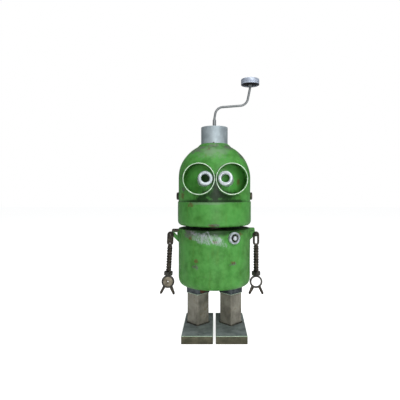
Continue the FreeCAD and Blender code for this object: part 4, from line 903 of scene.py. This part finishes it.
def crank():
    low, high = span("crank_rod")
    foot_z, throw, lean = low.z, middle("knob_cap").x, 5.7
    top_z, bend = high.z, 13.0

    def corner(before, at, after, steps=12):
        a, b = (before - at).normalized(), (after - at).normalized()
        half = a.angle(b) / 2
        reach = bend / math.tan(half)
        start, end = at + a * reach, at + b * reach
        centre = at + (a + b).normalized() * (bend / math.sin(half))
        start, end = start - centre, end - centre
        return [centre + start.slerp(end, k / steps).normalized() * bend for k in range(steps + 1)]

    foot, top = Vector((0, 0, foot_z)), Vector((throw, 0, top_z))
    root, bottom = Vector((0, 0, 336.2)), Vector((3, 0, 354.1))
    upper, knee = Vector((throw - lean, 0, 357.8)), Vector((throw, 0, 386))
    path = [foot] + corner(foot, root, bottom, 3) + corner(root, bottom, upper) + corner(bottom, upper, knee)
    path += corner(upper, knee, top, 4) + [top]
    path = resampled(path, 1.6)
    shape = rod(path, lambda along: 1.85 + 0.03 * noise.noise(Vector((along * 0.4, 1.3, 0))), 20)
    # Two rings on the rod hold the knob: a stop under it and a head in it.
    knob_low = span("knob_cap")[0].z
    for radius, seat in ((2.8, knob_low - 0.8), (3.0, knob_low + 5.7)):
        shape += shifted(washer(0, radius, seat, seat + 1, 0.2, 32), throw)
    piece("crank_bar", "crank", shape, CRANK_STEEL, ["crank_rod"])

    low, high = span("crank_ferrule")
    sleeve = turned([(1.86, low.z, 0), (2.9, low.z, 0.4), (2.85, low.z + 3.2, 0.2), (2.6, low.z + 3.5, 0.2),
                     (2.85, low.z + 3.8, 0.2), (2.65, high.z, 0.6), (1.86, high.z, 0.2)], 4, 40)
    piece("crank_sleeve", "crank", sleeve, CRANK_STEEL, ["crank_ferrule"])

    low, high = span("knob_cap")
    r = half_width("knob_cap")
    cap = turned([(0, high.z, 0), (r, high.z, 1.3), (r, low.z + 3.6, 0.3), (r - 0.5, low.z + 3.3, 0.1),
                  (r - 0.5, low.z + 2.7, 0.1), (r, low.z + 2.4, 0.3), (r, low.z, 0.4),
                  (r - 1.5, low.z, 0.3), (r - 1.5, high.z - 1.5, 0.5), (0, high.z - 1.5, 0)], 5, 96)

    def notch(p, radius):
        """Grip notches round the wall, above the groove."""
        if radius <= r - 0.1 or p.z <= low.z + 3.2:
            return 0
        return -0.12 * (0.5 + 0.5 * math.cos(math.atan2(p.y, p.x) * 48))

    points, faces, _ = swelled(cap, notch)[0]
    # Faces within 0.9 mm of the knob's bottom take the black finish, so the knob is darker at its bottom.
    steel, black = [], []
    for face in faces:
        height = sum(points[i].z for i in face) / len(face)
        (steel if height > low.z + 0.9 else black).append(face)
    grip = shifted([(points, steel, 0), (points, black, 1)], throw)
    piece("knob_shell", "knob", grip, [KNOB_STEEL, BLACK], ["knob_cap"])
    low, high = span("knob_insert")
    insert = turned([(KNOB_BORE, low.z, 0.3), (8, low.z, 0.3), (8.6, low.z + 1.2, 0.3),
                     (r - 1.54, low.z + 1.2, 0.2), (r - 1.54, high.z, 0.3), (KNOB_BORE, high.z, 0.3)], 4, 64)
    piece("knob_core", "knob", shifted(insert, throw), BLACK, ["knob_insert"])


# ---------------------------------------------------------------- arms and hands


def arms():
    for side, sign in (("left", 1), ("right", -1)):
        low, high = span("left_arm_rod")
        x, y = sign * ARM_OFFSET[side], ARM_DEPTH
        hang = ARM_HANG[side]
        wire, width = 1.7, 10.2
        half = width / 2 - wire
        loop_foot = 134.5
        top, bottom = high.z - wire - half, loop_foot + wire + half
        arc = [math.pi * k / 16 for k in range(17)]
        path = [(x + half * math.cos(a), y, top + half * math.sin(a)) for a in arc]
        path += [(x - half * math.cos(a), y, bottom - half * math.sin(a)) for a in arc]

        def uneven(along, sign=sign):
            return wire + 0.05 * noise.noise(Vector((along * 0.5, sign, 0)))

        loop = rod(resampled(path, 0.9, True), uneven, 16, "loop")
        # A square bar, twisted along its length, that thins out into the loop's foot.
        rings = []
        start, end, taper, pitch = low.z, loop_foot + 1.4, 2.8, 17.0
        flat, corner = 3.3, 4.3
        for k in range(61):
            z = start + (end - start) * k / 60
            turn = 2 * math.pi * (z - start) / pitch + 0.06 * noise.noise(Vector((z * 0.3, sign * 2, 0)))
            shrink = 1.0 - 0.4 * max(0.0, z - (end - taper)) / taper
            if z < start + 1:
                shrink = 0.86 + 0.14 * (z - start)
            ring = []
            for a in angles(28):
                r = min(flat / max(abs(math.cos(a)), abs(math.sin(a))), corner) * shrink
                ring.append((x + r * math.cos(a + turn), y + r * math.sin(a + turn), z))
            rings.append(ring)
        if side == "right":
            # The lower part of this loop is filled, up to just under the pin.
            edge, fill_top = half - wire + 0.4, PIN_HEIGHT - PIN_RADIUS - 0.8
            outline = [(-edge, bottom - 1), (edge, bottom - 1), (edge, fill_top), (-edge, fill_top)]
            loop += shifted(prism(outline, -1.2, 1.2), x, y)
        bar = moved(loop + skin(rings), hang)
        piece(side + "_arm_bar", side + "_arm", bar, DARK_STEEL, [side + "_arm_rod"], sharp=50)

        low, high = span("left_wrist_nut")
        nut = moved(hexagon_nut(13, low.z, high.z, 3.05), Matrix.Rotation(math.radians(30), 4, "Z"))
        nut = moved(shifted(nut, x, y), hang)
        piece(side + "_wrist_hex", side + "_arm", nut, HAND_STEEL, [side + "_wrist_nut"])

        bore = 7.3 if side == "left" else 7.7
        ring = turned([(bore, -1.5, 0.5), (10.2, -1.5, 0.8), (10.2, 1.5, 0.8), (bore, 1.5, 0.5)], 5, 64)
        ring = shifted(moved(ring, ALONG_Y), x, y, HAND_HEIGHT)
        stud = shifted(lathe(threaded(HAND_HEIGHT + 8.7, HAND_HEIGHT + 15.9, 3.0), 32), x, y)
        lugs = []
        for k in (1, -1):
            lug = turned([(0.85, -1.5, 0.2), (2.3, -1.5, 0.3), (2.3, 1.5, 0.3), (0.85, 1.5, 0.2)], 3, 28)
            lugs += shifted(moved(lug, ALONG_Y), x + k * KNUCKLE_OFFSET, y, KNUCKLE_HEIGHT)
        hand = moved(ring + stud + lugs, hang)
        piece(side + "_hand", side + "_hand", hand, HAND_STEEL, [side + "_hand_ring"])
        for which, k in (("outer", sign), ("inner", -sign)):
            claw(side, which, x, y, k, hang)

    disc = turned([(1.2, -2.3, 0.2), (3.2, -2.3, 0.5), (3.2, -1.2, 0.2), (4.6, -1.0, 0.3),
                   (6.9, -1.2, 0.3), (7.68, -1.0, 0.2), (7.68, 1.2, 0.2), (3.2, 1.2, 0.2),
                   (3.2, 2.3, 0.5), (1.2, 2.3, 0.2)], 4, 56)
    disc = shifted(moved(disc, ALONG_Y), -ARM_OFFSET["right"], ARM_DEPTH, HAND_HEIGHT)
    piece("right_palm_bearing", "right_hand", moved(disc, ARM_HANG["right"]), PALM_STEEL, ["right_palm_disc"])


def threaded(low, high, radius, pitch=0.8):
    """Section of a stud with ring grooves for a thread."""
    outline = [(0, low), (radius, low)]
    z = low + 0.3
    while z < high - pitch:
        outline += [(radius, z), (radius - 0.22, z + pitch * 0.5)]
        z += pitch
    return outline + [(radius - 0.4, high), (0, high)]


def claw(side, which, x, y, k, hang):
    """A short claw with a forked knuckle and a rivet."""
    name = f"{side}_{which}_finger"
    turn = Matrix.Rotation(math.radians(-k * 26), 4, "Y")
    place = hang @ Matrix.Translation((x + k * KNUCKLE_OFFSET, y, KNUCKLE_HEIGHT)) @ turn
    cheeks = []
    for face in (-1, 1):
        low, high = sorted((face * 1.66, face * 2.8))
        outline = rounded([(-2.2, 2.2, 2.0), (2.2, 2.2, 2.0), (2.0, -4.5, 0.3), (-2.0, -4.5, 0.3)], 6)
        cheeks += prism(outline, low, high)
    bar = []
    for z, width, depth in ((-3.15, 2.0, 2.8), (-4.5, 2.1, 2.75), (-6.5, 2.1, 2.5), (-8.5, 2.05, 2.2),
                            (-9.8, 1.9, 2.0), (-10.9, 1.4, 1.6), (-11.5, 0.7, 0.9)):
        ring = []
        for a in angles(24):
            c, s = math.cos(a), math.sin(a)
            square = 1 / max(abs(c), abs(s)) if z > -4 else 1 / (abs(c) ** 3 + abs(s) ** 3) ** (1 / 3)
            ring.append((width * square * c - 0.25 * k * ((-z - 3) / 9) ** 2, depth * square * s, z))
        bar.append(ring)
    rivet = lathe([(0, -3.15), (0.8, -3.1), (1.35, -2.85), (0.8, -2.7), (0.8, 2.7), (1.35, 2.85), (0.8, 3.1),
                   (0, 3.15)], 20)
    shape = cheeks + skin(bar) + moved(rivet, ALONG_Y)
    piece(name + "_claw", name, moved(shape, place), DARK_STEEL, [name], sharp=40)


legs()
body()
chest_badge()
head()
crank()
arms()


# ---------------------------------------------------------------- stage, light, camera


def stage():
    floor_mesh = bpy.data.meshes.new("floor")
    floor_mesh.from_pydata([(-4, -2, 0), (4, -2, 0), (4, 5, 0), (-4, 5, 0)], [], [(0, 1, 2, 3)])
    s = Surface("floor_white")
    soft = s.blend(s.fade(s.grain(180, 2), 0.3, 0.7), (0.90, 0.90, 0.90, 1), (0.93, 0.93, 0.93, 1))
    s.finish(soft, 0.9)
    s.shader.inputs["Emission Color"].default_value = (1, 1, 1, 1)
    glow = s.scaled(s.add("ShaderNodeLightPath").outputs["Is Camera Ray"], 0.68, 0.16)
    s.feed(s.shader.inputs["Emission Strength"], glow)
    floor_mesh.materials.append(s.material)
    linked("floor", floor_mesh)

    world = bpy.data.worlds.new("studio")
    bpy.context.scene.world = world
    world.use_nodes = True
    tree = world.node_tree
    tree.nodes.clear()
    path, mix, out = (tree.nodes.new(kind) for kind in (
        "ShaderNodeLightPath", "ShaderNodeMixShader", "ShaderNodeOutputWorld"))
    tree.links.new(path.outputs["Is Camera Ray"], mix.inputs[0])
    # What lights the figure is dim; what the camera sees behind it is white.
    for socket, colour, strength in ((1, (0.95, 0.98, 1, 1), 0.16), (2, (1, 1, 1, 1), 1.0)):
        light = tree.nodes.new("ShaderNodeBackground")
        light.inputs["Color"].default_value = colour
        light.inputs["Strength"].default_value = strength
        tree.links.new(light.outputs[0], mix.inputs[socket])
    tree.links.new(mix.outputs[0], out.inputs[0])

    def area(name, at, aim, size, power):
        light = bpy.data.lights.new(name, "AREA")
        light.shape = "DISK"
        light.size = size
        light.energy = power
        obj = linked(name, light)
        obj.location = at
        obj.rotation_euler = (Vector(aim) - Vector(at)).to_track_quat("-Z", "Y").to_euler()

    area("key", (0.5, -1.0, 0.85), (0, 0, 0.22), 0.6, 7)
    area("front", (0.08, -1.4, 0.3), (0, 0, 0.2), 0.5, 4.3)
    area("top", (0, -0.1, 1.3), (0, 0, 0.2), 0.9, 6)

    camera_data = bpy.data.cameras.new("camera")
    camera_data.lens = 34.65
    camera_data.sensor_width = 36
    camera_data.shift_x = -0.036
    camera_data.shift_y = -0.02
    camera = linked("camera", camera_data)
    camera.location = (0, -0.614, 0.2195)
    camera.rotation_euler = (math.radians(90), 0, 0)
    bpy.context.scene.camera = camera
    bpy.context.scene.view_settings.view_transform = "Standard"


stage()
